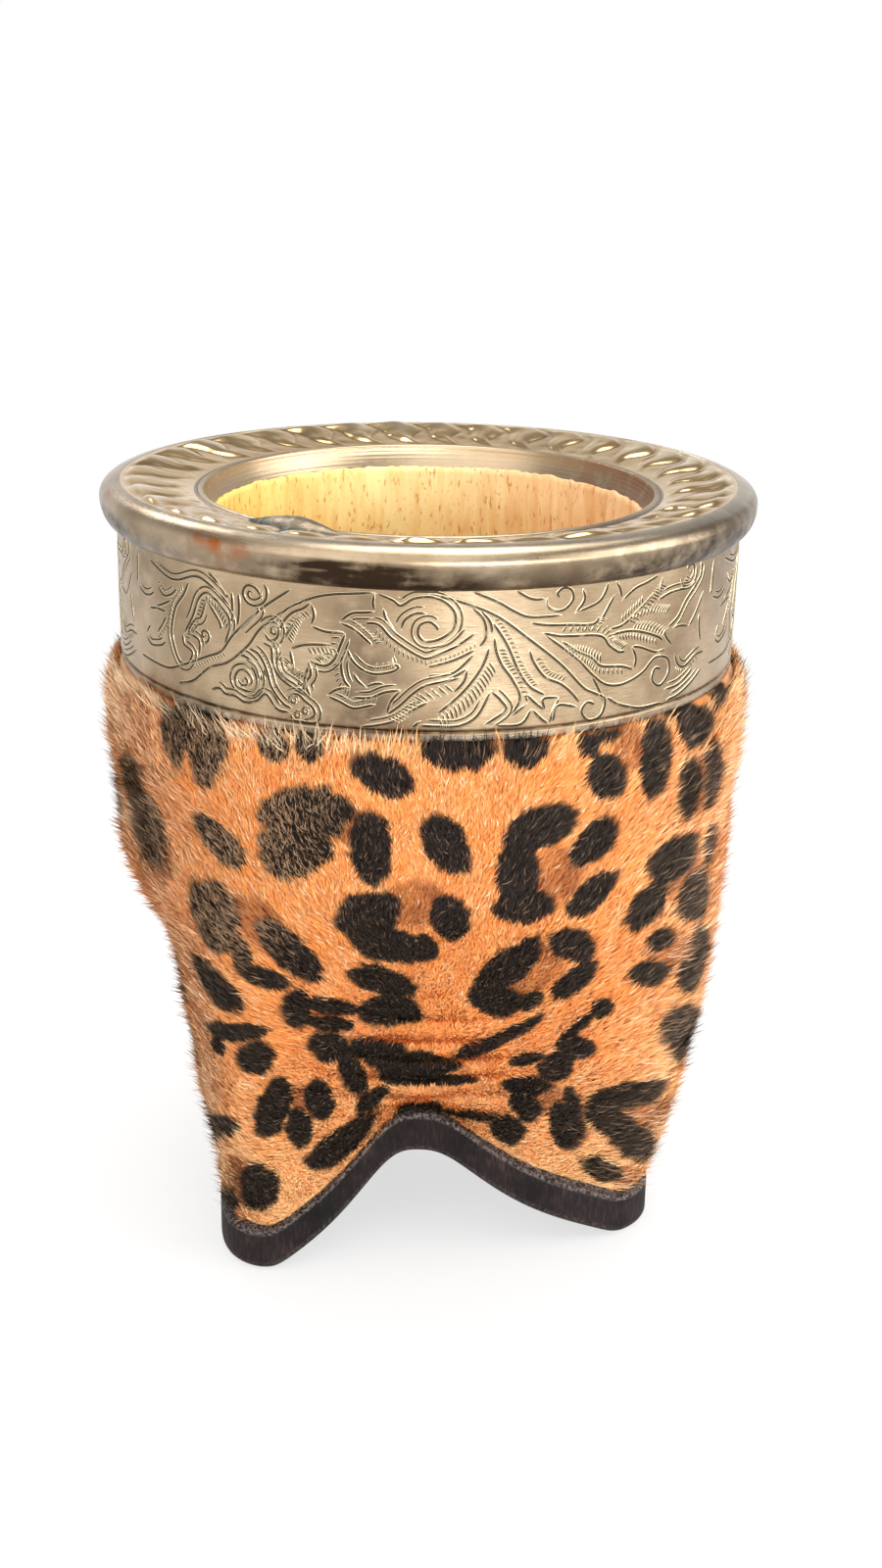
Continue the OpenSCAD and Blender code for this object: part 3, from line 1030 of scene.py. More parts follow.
@dataclass
class SpottedHide:
    """Hide sleeve with short hair: a round belly under the collar, drawn in between the feet to the sole."""

    sole: BentSole
    colours: CoatColours
    top_z: float
    neck_r: float
    full_r: float
    band_r: float
    band_low_z: float
    round_z: float = 62.0
    round_r: float = 40.85
    thick: float = 2.0
    fold_depth: float = 1.0
    tuck_depth: float = 4.3
    tuck_at: float = 186.0
    tuck_half: float = 39.0
    crease_pitch: float = 4.2
    crease_depth: float = 1.9
    hairs: int = 330000
    bundles: int = 6
    quick_part: int = 6
    hair_long: Pair = (1.4, 2.6)
    hair_wide: float = 0.085
    hair_lift: Pair = (32, 9)
    lift_limits: Pair = (12, 72)
    hair_sink: float = 0.12
    guard_shares: Vector3 = (0.012, 0.08, 0.26)
    stray_share: float = 0.35
    root_shade: float = 0.66
    left_at: float = 167.5
    bleed: float = 1.05
    flat: Pair = (0.269, 0.085)
    skin_grid: tuple[int, int] = (480, 130)
    skin_finish: Hair = Hair("hide_skin", 0.85, 0.2)
    hair_finish: Hair = Hair("hide_hair")
    dice: np.random.Generator = field(default_factory=lambda: np.random.default_rng(SEED))
    patches: list[Patch] = field(default_factory=list)

    def hem_z(self, angle: Array) -> Array:
        """Height at which the hide meets the sole."""
        return self.sole.top_z(angle, self.sole.hem_r(angle))

    def creases(self, angle: Array, height: Array) -> Array:
        """Fine sagging folds above each arch: rounded ridges with sharp valleys, lowest over the arch.

        Args:
            angle: degrees round the cup.
            height: height above the floor.

        Returns:
            Steps out of the plain surface.
        """
        foot = self.sole.footness(angle)
        above = height - self.hem_z(angle)
        phase = (height - 7 * foot + 0.6 * grain(polar(angle, 30, height), 6, 8)) / self.crease_pitch
        window = ease(above, 1.0, 5.0) * (1 - ease(above, 15.0, 26.0)) * (1 - foot) ** 2.5
        return self.crease_depth * window * (np.abs(np.sin(np.pi * phase)) ** 0.6 - 0.6)

    def side_tuck(self, angle: Array, t: Array) -> Array:
        """Step inwards over one side arch: a cosine bell round the cup, eased in below the round part.

        Args:
            angle: degrees round the cup.
            t: 0 at the hem, 1 at the round part.

        Returns:
            Steps towards the middle.
        """
        away = np.minimum(1, np.abs(angle % 360 - self.tuck_at) / self.tuck_half)
        fade = blend(0.5, 1, ease(t, 0, 0.55)) * ease(t, 0, 0.12)
        return self.tuck_depth * np.cos(np.pi / 2 * away) ** 2 * ease(0.92 - t, 0, 0.245) * fade

    def radius(self, angle: Array, height: Array) -> Array:
        """Radius of the outside.

        Below the round part it follows a power curve from the hem, with one coarse fold and the creases.
        Above, it swells by an eased step and closes to the neck by a quarter round.

        Args:
            angle: degrees round the cup.
            height: height above the floor.

        Returns:
            The radius at each place.
        """
        foot = self.sole.footness(angle)
        hem_r, hem_z = self.sole.hem_r(angle), self.hem_z(angle)
        t = np.clip((height - hem_z) / (self.round_z - hem_z), 0, 1)
        drawn = blend(hem_r, self.round_r, 1 - (1 - t) ** (1.4 + 0.8 * foot))
        wave = self.fold_depth * (1 - foot) ** 3 * np.sin(np.deg2rad(800 * t))
        drawn += wave * (1 - t) ** 4 * np.minimum(1, 12 * t)
        drawn += self.creases(angle, height) - self.side_tuck(angle, t)
        w = np.clip((height - self.round_z) / (self.band_low_z - self.round_z), 0, 1)
        swell = blend(0, self.full_r - self.round_r, ease(w, 0, 0.6))
        shut = 1 - np.sqrt(np.maximum(0, 1 - np.clip((w - 0.8) / 0.2, 0, 1) ** 2))
        return drawn + swell - shut * (self.full_r - self.neck_r)

    def spot(self, angle: Array, share: Array) -> Array:
        """Point on the outside, with share 0 at the hem and 1 at the collar."""
        height = blend(self.hem_z(angle), self.band_low_z, share)
        return polar(angle, self.radius(angle, height), height)

    def frame_at(self, angle: Array, share: Array) -> tuple[Array, Array, Array, Array]:
        """Local frame on the outside, from small steps round and up.

        Args:
            angle: degrees round the cup.
            share: 0 at the hem, 1 at the collar.

        Returns:
            Points, steps round, steps up and outward normals.
        """
        point = self.spot(angle, share)
        around = self.spot(angle + 0.3, share) - self.spot(angle - 0.3, share)
        above, below = np.minimum(1, share + 0.004), np.maximum(0, share - 0.004)
        upward = self.spot(angle, above) - self.spot(angle, below)
        return point, around, upward, unit(np.cross(around, upward))

    def front_patches(self, view: Viewpoint) -> list[Patch]:
        """Lay the front marks on the hide: a ray through each middle is followed until it meets the outside.

        Args:
            view: camera of the photograph.

        Returns:
            The marks on the hide.
        """
        pixels = np.array([[mark.x, mark.y] for mark in FRONT_MARKS], float)
        rays = view.rays(pixels)
        depth = np.arange(180.0, 330.0, 0.25)
        path = view.eye() + rays[:, None] * depth[:, None]
        angle = turned(path)
        beyond = np.hypot(path[..., 0], path[..., 1]) - self.radius(angle, path[..., 2])
        beyond = np.where(path[..., 2] > self.band_low_z + 1, 9.0, beyond)
        met = beyond <= 0
        pick = np.where(met.any(1), met.argmax(1), beyond.argmin(1))
        row = np.arange(len(pixels))
        hit, at = path[row, pick], angle[row, pick]
        low = self.hem_z(at)
        share = np.clip((hit[:, 2] - low) / (self.band_low_z - low), 0.01, 0.99)
        middle, _, _, normal = self.frame_at(at, share)
        right, up, _ = view.axes()
        reach = depth[pick] / view.focal_px
        tilt = np.deg2rad([mark.tilt for mark in FRONT_MARKS])[:, None]
        facing = np.maximum(0.32, -np.sum(unit(rays) * normal, 1))[:, None]
        found = []
        halves = np.array([mark.halves for mark in FRONT_MARKS])
        for sizes, lean in ((halves[:, 0], tilt), (halves[:, 1], tilt + np.pi / 2)):
            seen = np.cos(lean) * right - np.sin(lean) * up
            slip = np.sum(seen * normal, 1, keepdims=True) / facing
            laid = seen + unit(rays) * np.clip(slip, -2.2, 2.2)
            found.append(laid * (sizes * reach)[:, None])
        return [Patch(middle[k], found[0][k], found[1][k], normal[k], mark.tone)
                for k, mark in enumerate(FRONT_MARKS)]

    def back_patches(self) -> list[Patch]:
        """Scatter rosettes over the side that the photograph doesn't show.

        Each is a brown middle inside a broken ring of three to five black spots.

        Returns:
            The marks on the hide.
        """
        found = []
        first, last, rows, gap = -23.0, 171.0, 6, 15.5
        top_row, row_step, middle_at = 76, 12.4, 80.0
        for row in range(rows):
            height = top_row - row * row_step
            arc = np.deg2rad(last - first) * float(self.radius(np.array(middle_at), np.array(height)))
            count = max(3, round(arc / gap))
            for k in range(count):
                along = k + 0.5 + 0.5 * (row % 2) + self.dice.uniform(-0.18, 0.18)
                angle = first + along * (last - first) / count
                low = float(self.hem_z(np.array(angle)))
                share = (height + self.dice.uniform(-2.2, 2.2) - low) / (self.band_low_z - low)
                spots = int(self.dice.integers(3, 6))
                start, size = self.dice.uniform(0, 360), self.dice.uniform(1.0, 1.35)
                bends = start + np.arange(spots) * 300 / spots + self.dice.uniform(-14, 14, spots)
                lengths = self.dice.uniform(2.0, 3.3, spots) * size
                widths = self.dice.uniform(1.4, 2.3, spots) * size
                if not 0.03 < share < 0.98:
                    continue
                middle, around, _, normal = self.frame_at(np.array(angle), np.array(share))
                east, north = unit(around), unit(np.cross(normal, around))
                found.append(Patch(middle, east * 2.6 * size, north * 2.3 * size, normal, Tone.BROWN))
                for bend, length, width in zip(np.deg2rad(bends), lengths, widths):
                    out = np.cos(bend) * east + np.sin(bend) * north
                    spot = middle + out * 3.6 * size
                    found.append(Patch(spot, np.cross(normal, out) * length, out * width, normal, Tone.BLACK))
        return found

    def marks_at(self, points: Array) -> tuple[Array, Array]:
        """Share of a black and of a brown mark at each point.

        A mark is an ellipse in its own plane, with an edge that noise makes ragged.

        Args:
            points: places on the hide.

        Returns:
            Black shares and brown shares, from 0 to 1.
        """
        shares = {tone: np.zeros(len(points)) for tone in Tone}
        ragged = 1 + 0.13 * grain(points, 2.4, 31) + 0.10 * grain(points, 0.8, 32)
        for patch in self.patches:
            reach = 1.6 * max(np.linalg.norm(patch.long), np.linalg.norm(patch.wide)) + 1
            offset = points - patch.middle
            near = np.flatnonzero(np.einsum("ij,ij->i", offset, offset) < reach * reach)
            if not len(near):
                continue
            offset = offset[near]
            axes = np.stack([patch.long, patch.wide])
            place = np.linalg.solve(axes @ axes.T, axes @ offset.T)
            rim = np.hypot(*place) * ragged[near] / self.bleed
            soft = 0.10 if patch.tone is Tone.BLACK else 0.22
            here = 1 - ease(rim, 1 - soft, 1 + soft)
            shares[patch.tone][near] = np.maximum(shares[patch.tone][near], here)
        return shares[Tone.BLACK], shares[Tone.BROWN]

    def build_skin(self) -> Piece:
        """Skin the hide itself: the outside up to under the collar, and a plain inside back to the hem.

        Returns:
            The piece.
        """
        angle = turn_angles(self.skin_grid[0])[None]
        share = np.linspace(0, 1, self.skin_grid[1])[:, None]
        outside = self.spot(angle, share)
        tuck = polar(angle, self.neck_r, np.linspace(self.band_low_z, self.top_z, 5)[1:, None])
        inner_share = np.linspace(1, 0, 24)[:, None]
        wall = self.spot(angle, inner_share)
        inside = wall - unit(wall * LEVEL) * self.thick
        lining = polar(angle, self.neck_r - self.thick * 0.9, np.array([[self.top_z]]))
        skin = ring_skin(np.concatenate([outside, tuck, lining, inside]))
        black, brown = self.marks_at(skin.points)
        normal = unit(skin.points * LEVEL)
        dice = np.full(len(skin.points), 0.5)
        # The skin gets the hair's colours, with their painted light.
        skin.marks["coat_and_painted_light"] = 0.8 * self.colours.paint(skin.points, normal, black, brown, dice, 0 * dice)
        return put("hide_skin", skin, self.skin_finish.make(), "hide_sleeve")

    def roots(self, count: int) -> tuple[Array, Array]:
        """Places for hairs, spread evenly over the area of the outside.

        Args:
            count: number of hairs.

        Returns:
            Angles and shares up the hide.
        """
        angle = self.dice.uniform(0, 360, count * 3)
        share = self.dice.uniform(0.0, 0.985, count * 3)
        _, around, upward, _ = self.frame_at(angle, share)
        area = np.linalg.norm(np.cross(around, upward), axis=1)
        keep = np.flatnonzero(self.dice.uniform(0, np.quantile(area, 0.995), count * 3) < area)[:count]
        return angle[keep], share[keep]

    def build_hair(self) -> list[Piece]:
        """Grow the hair in bundles, each one piece: blades that rise from the hide and lie over upwards.

        Returns:
            The bundles.
        """
        finish = self.hair_finish.make()
        self.dice = np.random.default_rng(SEED)
        total = self.hairs // 1
        angle, share = self.roots(total)
        point = self.spot(angle, share)
        under_band = np.hypot(point[:, 0], point[:, 1]) < self.band_r + 0.1
        clear = ~((point[:, 2] > self.band_low_z - 0.9) & under_band)
        angle, share = angle[clear], share[clear]
        order = np.lexsort((angle, np.floor(share * 60)))
        found = []
        for number, chosen in enumerate(np.array_split(order, self.bundles), 1):
            roots = self.rooted(angle[chosen], share[chosen])
            found.append(put(f"hide_hair_{number}", self.blades(roots), finish, "hide_sleeve"))
        return found

    def rooted(self, angle: Array, share: Array) -> Roots:
        """Sort roots into zones, pick the guard hairs and turn the hair upright under the collar.

        Args:
            angle: degrees round the cup.
            share: 0 at the hem, 1 at the collar.

        Returns:
            The roots.
        """
        point, around, _, normal = self.frame_at(angle, share)
        east, north = unit(around), unit(np.cross(normal, around))
        side = np.cos(np.arctan2(point[:, 1], point[:, 0]) - np.deg2rad(self.left_at))
        flank = ease(np.abs(side), 0.6, 0.95)
        collar = ease(point[:, 2], self.band_low_z - 3.2, self.band_low_z - 1.0)
        tuft = collar * ease(side, 0.1, 0.35) * (1 - ease(side, 0.8, 0.95))
        everywhere, at_flank, at_tuft = self.guard_shares
        guard = self.dice.uniform(0, 1, len(point)) < everywhere + at_flank * flank + at_tuft * tuft
        upright = np.array([0, 0, 1]) + 0.12 * unit(point * LEVEL)
        north = unit(blend(north, upright, collar[:, None]))
        return Roots(point, east, north, normal, side, flank, collar, tuft, guard)

    def stance(self, roots: Roots) -> tuple[Array, Array]:
        """How hairs stand: swept round by two noises, and lifted from the hide by a spread of angles.

        Args:
            roots: where they grow.

        Returns:
            Directions along the hide, and directions of their lower halves.
        """
        point, count = roots.point, len(roots.point)
        sweep = 24 * grain(point, 7.0, 41) + 14 * grain(point, 1.6, 42) + 14 * ease(-roots.side, 0.2, 0.7)
        sway = np.deg2rad(sweep + self.dice.normal(0, 13 + 12 * roots.tuft, count))[:, None]
        comb = unit(np.cos(sway) * roots.north + np.sin(sway) * roots.east)
        lift = self.dice.normal(*self.hair_lift, count) + 8 * grain(point, 3.0, 43)
        lift = lift + 7 * roots.flank + 20 * roots.guard
        lift = np.deg2rad(np.clip(lift, *self.lift_limits))[:, None]
        return comb, np.cos(lift) * comb + np.sin(lift) * roots.normal

    def lengths(self, roots: Roots) -> Array:
        """Lengths of hairs: longer guard hairs and flanks, and an uneven fringe under the collar.

        Args:
            roots: where they grow.

        Returns:
            The lengths.
        """
        count, tuft = len(roots.point), roots.tuft
        length = self.dice.uniform(*self.hair_long, count)[:, None]
        ends = np.maximum(ease(-roots.side, 0.45, 0.85), ease(roots.side, 0.85, 0.97))
        stray = self.dice.uniform(0, 1, count) < self.stray_share
        fringe = 1.35 + (0.1 + 0.45 * roots.guard) * tuft
        fringe = fringe + 0.8 * stray * (1 - tuft) * (1 - roots.flank) - 0.65 * ends
        grown = 0.78 + 0.15 * grain(roots.point, 4.0, 44) + 0.38 * roots.flank + 0.35 * roots.guard
        return length * (grown * blend(1, fringe, roots.collar))[:, None]

    def tones(self, roots: Roots, place: Array) -> Array:
        """Colours along hairs: dark at the root, pale at the tip, and light on guard hairs.

        Args:
            roots: where the hairs grow.
            place: where they read the marks of the hide.

        Returns:
            Linear colours of each hair's five points.
        """
        count, kinds = len(roots.point), self.colours
        black, brown = self.marks_at(place)
        luck = self.dice.uniform(0, 1, count)
        colour = kinds.paint(roots.point, roots.normal, black, brown, luck, roots.collar)
        sooty = (black > 0.5) & (roots.tuft < 0.3)
        light = np.where(sooty[:, None], linear(kinds.ash), linear(kinds.cream))
        light = blend(colour, light, (0.5 + 0.25 * roots.tuft)[:, None])
        spread = (0.17 + 0.17 * roots.flank) * self.dice.uniform(-1, 1, count)
        colour = np.where(roots.guard[:, None], light, colour) * (1 + spread)[:, None]
        pale = blend(colour, linear(kinds.tan), (0.16 * (1 - black))[:, None])
        pale = blend(pale, linear(kinds.ash), (0.07 * black)[:, None])
        dark = self.root_shade * colour
        return np.stack([dark, dark, colour, colour, pale], 1)

    def blades(self, roots: Roots) -> Skin:
        """Hairs as thin blades with two ends at the root, two half-way and one tip.

        Args:
            roots: where they grow.

        Returns:
            The blades, with their colours and with normals near the hide's own.
        """
        count, normal = len(roots.point), roots.normal
        comb, rise = self.stance(roots)
        length = self.lengths(roots)
        bent = unit(rise + 0.42 * comb - 0.1 * normal + self.dice.normal(0, 0.10, (count, 3)))
        root = roots.point - self.hair_sink * normal
        middle = root + 0.5 * length * rise
        tip = middle + 0.5 * length * bent
        twist = self.dice.normal(0, 0.45, count)[:, None]
        half = unit(np.cross(rise, normal)) * np.cos(twist) + normal * np.sin(twist)
        half = half * (self.hair_wide * self.dice.uniform(0.65, 1.3, count))[:, None]
        points = np.stack([root - half, root + half, middle - 0.8 * half, middle + 0.8 * half, tip], 1)
        tones = self.tones(roots, 0.4 * root + 0.6 * middle)
        skin = Skin(points.reshape(-1, 3), *self.blade_faces(count))
        # The colours carry painted light and a painted sheen.
        skin.marks["coat_and_painted_light"] = tones.reshape(-1, 3)
        facing = unit(normal + 0.35 * rise + self.dice.normal(0, 0.24, (count, 3)))
        skin.normals = np.repeat(facing, 5, 0)
        return skin

    @staticmethod
    def blade_faces(count: int) -> tuple[Array, Array]:
        """Triangles of blades with five points each, and their map, with one cell for each blade.

        Args:
            count: number of blades.

        Returns:
            Faces, and a place on the map for each of their corners.
        """
        corners = np.array([[0, 1, 3], [0, 3, 2], [2, 3, 4]])
        faces = (np.arange(count)[:, None, None] * 5 + corners).reshape(-1, 3)
        cells = int(np.ceil(np.sqrt(count)))
        cell = np.stack([np.arange(count) % cells, np.arange(count) // cells], -1)[:, None]
        shape = np.array([[0.2, 0.1], [0.8, 0.1], [0.2, 0.5], [0.8, 0.5], [0.5, 0.9]])
        uv = ((cell + shape) / cells).reshape(-1, 2)
        return faces, uv[faces].reshape(-1, 2)


Line = tuple[float, ...]


def spiral(s: float, h: float, size: float, turns: float, start: float = 0.0) -> Line:
    """Line that winds in to a point, counter-clockwise, with a radius that shrinks evenly.

    Args:
        s: middle along the band.
        h: middle above the border.
        size: radius at its outer end.
        turns: number of turns.
        start: direction of its outer end, in degrees.

    Returns:
        The line.
    """
    share = np.linspace(0, 1, max(6, round(9 * turns)))
    turn = np.deg2rad(start + 360 * turns * share)
    reach = size * (1 - 0.86 * share)
    return tuple(np.stack([s + reach * np.cos(turn), h + reach * np.sin(turn)], -1).ravel().tolist())


def smooth_path(line: Line, step: float) -> Array:
    """Even curve through the points of a line, by Catmull-Rom pieces.

    Args:
        line: points that the curve passes, each by its place along the band and above the border.
        step: about the distance between two samples.

    Returns:
        The samples.
    """
    knots = np.array(line, float).reshape(-1, 2)
    padded = np.concatenate([2 * knots[:1] - knots[1:2], knots, 2 * knots[-1:] - knots[-2:-1]])
    length = np.linalg.norm(np.diff(knots, axis=0), axis=1).sum()
    at = np.linspace(0, len(knots) - 1, max(5, int(np.ceil(length / step)) + 1))
    piece = np.minimum(at.astype(int), len(knots) - 2)
    t = (at - piece)[:, None]
    a, b, c, d = (padded[piece + k] for k in range(4))
    return 0.5 * (2 * b + (c - a) * t + (2 * a - 5 * b + 4 * c - d) * t ** 2
                  + (3 * b - a - 3 * c + d) * t ** 3)


def path_sides(path: Array) -> tuple[Array, Array]:
    """Directions along a path and to its left."""
    along = unit(np.gradient(path, axis=0))
    return along, np.stack([-along[:, 1], along[:, 0]], -1)


@dataclass(frozen=True)
class Hatch:
    """Row of short cuts along a line, to its left where reach is positive and to its right where not."""

    line: Line
    reach: float = 1.0
    pitch: float = 0.55
    lean: float = 0.45


# Lines of the scroll: each lists its points in turn, along the band and above the border, in millimetres.
STEMS: tuple[Line, ...] = (
    (-43.5, 3, -37, 2.9, -34, 3.6, -28.5, 6, -26, 7.2, -24, 9.6, -20, 13.25, -16, 16.1),
    (-34, 1.5, -31, 2.5, -28, 4.75, -25, 6, -22, 8.5, -20, 11, -16, 14, -12, 15.75, -6, 16.5),
    (5, 16.9, 8, 15.6, 10, 14.4, 12, 13.6, 16, 13.5),
    (0, 16.6, 4, 15.6, 8, 13.9, 12, 10.9, 16, 7.6, 19, 4.5, 20.5, 3.6, 22.2, 2.6, 21.8, 0.7, 20.1, 0.2, 19,
     1.4, 19.7, 2.5, 20.9, 2.1),
    (13.5, 11.6, 18, 8.1, 20, 6.1, 22, 4.5, 24, 4, 26, 4.25, 28, 5, 30, 6.4, 32.3, 5.9, 32.8, 4.1, 31.2,
     2.7, 29.7, 3.6, 30.1, 5, 31.4, 4.7), (20.2, 5.75, 21.2, 4, 22.2, 2),
    (22.5, 2.75, 24, 1.75, 26, 1, 28, 0.5, 32, 0.4),
)
RIGHT_BRANCH: tuple[Line, ...] = (
    (12, 12.9, 14, 12.5, 17, 12.25, 20, 12, 21, 12.75), (17.5, 13.6, 20.5, 14.5, 21.5, 15.5, 22, 16.75),
    (23, 16.9, 23.75, 15.75, 24, 14.5), (21, 12, 23, 15.25), (24, 14.25, 26, 15.5, 28, 16, 30, 16.6),
    (22.5, 11.1, 24.5, 11.4, 27.5, 13.25, 29.25, 14.5),
    (13.5, 11.6, 16, 11, 21, 10.5, 22.5, 9.1, 24, 8.1, 25, 8.1), (22.5, 10.4, 26, 10.4, 30, 9.1, 31.25, 8.25),
    (16, 10.4, 18, 9, 20, 8, 21.5, 6.75, 24.5, 6.25, 26.5, 5.5), (26.5, 5.5, 26.7, 7, 26, 8.5),
    (26, 8.5, 27.5, 8.1, 30, 7.1, 32, 7.1),
    (14, 15.75, 14, 14.75, 15, 14.1, 16.25, 14.2, 17.25, 15.25, 17, 16.4, 16, 16.75, 15.2, 16.1, 15.75, 15.5),
    (10, 16.9, 12, 15.75, 13.75, 15.6), (17.5, 13.5, 18.75, 15, 18.5, 16.5),
)
CREST: tuple[Line, ...] = (
    (-6, 16.5, -4, 15.75, -3, 15.1, -1.5, 16, 0.5, 16.2, 2.2, 15.5, 3.2, 14.2, 3, 12.5, 1.5, 11.3, -0.2,
     11, -1, 11.8, -0.8, 12.9, 0.2, 13.3, 1, 12.8, 1.3, 12.2), (0, 10.1, 2.5, 10.75, 4.5, 12.6),
    (0, 9.1, 3, 10.25, 5.6, 12), (0, 7.9, 3, 8.75, 5.6, 10), (0, 6.9, 3, 7.25, 5.5, 9.5),
    (0, 5.75, 2.5, 6.5, 4.75, 7.75), (4.75, 7.75, 4.3, 6.2, 3, 4.75),
)
FLAME_LEAF: tuple[Line, ...] = (
    (-6, 16.5, -6.2, 15.3, -6, 14.25), (-6, 14.25, -7.2, 14.1, -8.7, 13.9, -10.2, 12.75),
    (-10.2, 12.75, -8.5, 12.1, -7.2, 11.1, -6.2, 10.25),
    (-7.2, 12.9, -5.5, 12.75, -4, 11.25, -1, 9.3, 0.5, 9.1, 4, 10.7), (-5, 14.75, -4.7, 13.5, -3.5, 11.7),
    (-3, 12.2, -2.5, 13.5, -1.2, 14.3, 0, 14.2),
    (-9.2, 9.75, -8.7, 8.5, -7.5, 7.4, -6, 6.9, -4, 7.25, -3.2, 7.9, -4.5, 8.4),
    (-9.2, 9.75, -9.9, 8, -9.6, 6, -8.75, 5), (-8.75, 5, -10.2, 4.8, -11.7, 3.9),
    (-11.7, 3.9, -10, 3.25, -8.5, 2.6, -7, 2.9, -5.8, 3.25), (-8.5, 7, -8, 6, -6.8, 5.1),
    (-7.2, 5.25, -5.8, 5.75, -4.8, 5.75), (-8.7, 3.9, -6.5, 4, -4.8, 4.75, -2.9, 5.1),
    (-2.9, 5.1, -4, 3.75, -4.6, 2), (-4.6, 2, -3, 3.25, -1.5, 4.75, 0, 5.75, 2, 6.2, 4, 6.7),
    (-7.7, 0.4, -5.5, 0.75, -3.5, 1.4, -1.5, 2.75, 0.3, 3.75), (-1.75, 0.5, -0.5, 1.5),
    (-0.8, 0.9, 1.6, 0.8, 4, 0.9, 6, 2.1, 7.5, 5), (7.5, 5, 8.75, 3.75, 9.25, 2.5, 6.6, 0.75),
)
HANGING_LEAVES: tuple[Line, ...] = (
    (7.2, 10.25, 6.75, 8.75, 6, 7.25, 4.5, 5.25, 3, 3.75, 1.2, 2.25),
    (7.75, 11.5, 8, 9.75, 8.75, 8, 10, 6.25, 11, 4, 10, 1.75),
    (7.5, 13.25, 9.25, 10.5, 10.75, 7.25, 12.2, 5.2, 14.2, 4), (6, 14.75, 7.2, 13.25, 7.5, 11.75),
    (5, 15.1, 6.5, 13.5, 6.75, 11.5, 6, 10.25),
    (12, 9.75, 12.5, 8.25, 14, 6.25, 16, 5.25, 17.5, 4, 18.75, 2.5), (10, 1.75, 11.1, 2.6, 12, 3.25),
    (12, 3.25, 11.75, 4.25, 13, 3.1, 14.2, 2.1), (14.2, 2.1, 13.9, 3.6, 16, 3.6),
    (16, 3.6, 15.2, 2, 14.75, 0.4), (14.75, 0.4, 13.6, 1.3, 12.5, 2.5), (12.5, 2.5, 11.2, 0.75, 8, 0.75),
    (15.2, 0.5, 15.75, 2.6, 18.5, 2.1),
)
LEFT_FIELD: tuple[Line, ...] = (
    (-19.75, 14.25, -20.75, 15.6, -22, 15.75, -22.6, 14.75, -22, 13.75, -20.75, 13.5, -19.5, 14.25, -19.25,
     15.5, -19.75, 16.4), (-20.75, 13.5, -20.5, 12.75, -22, 11.25, -23.5, 9.9),
    (-23.25, 14.75, -23.2, 12.6, -23.5, 10.5), (-24.25, 14.75, -24.25, 11.25, -25.5, 8),
    (-28, 13.75, -26, 13, -24.75, 12), (-28, 16.5, -26.5, 15.5, -24.75, 13.5),
    (-32.5, 8, -30.75, 10.5, -29.5, 13, -28, 13.9, -26, 12.75, -24.6, 11, -25.5, 8),
    (-28.25, 13.1, -29.25, 10.75, -30.25, 10.25, -31.5, 8.5, -29.75, 7.75, -29.75, 5.75),
    (-28.25, 13.1, -26.25, 10.75, -26, 9.75), spiral(-28.75, 8.6, 1.1, 1.3, 200),
    (-32.75, 8, -32.5, 6.75, -31, 6, -32, 4.4, -33.5, 4.4, -34.5, 6, -35, 8, -34, 11, -32.25, 13, -31.25,
     14.75), (-40, 15.9, -36, 14.6, -33.5, 14.5, -29.5, 15.6, -26, 14, -24.5, 12.75),
    (-38, 13, -36.5, 12, -34.75, 12.5, -33.5, 13.5), (-38.5, 10.25, -37, 10.75, -34.75, 11.75),
    (-40.5, 9.6, -38, 10, -36, 10), (-38.5, 6.75, -37, 8.25, -36, 9.5), (-41.5, 6, -40.7, 6.9, -40, 7.5),
    (-41.5, 5.75, -40, 5, -37.5, 5.5, -36.25, 6.25), (-43.5, 11.75, -41.5, 11.1, -39.75, 11.4, -38.75, 12),
    (-43.5, 16.5, -43.75, 13, -44, 12),
)
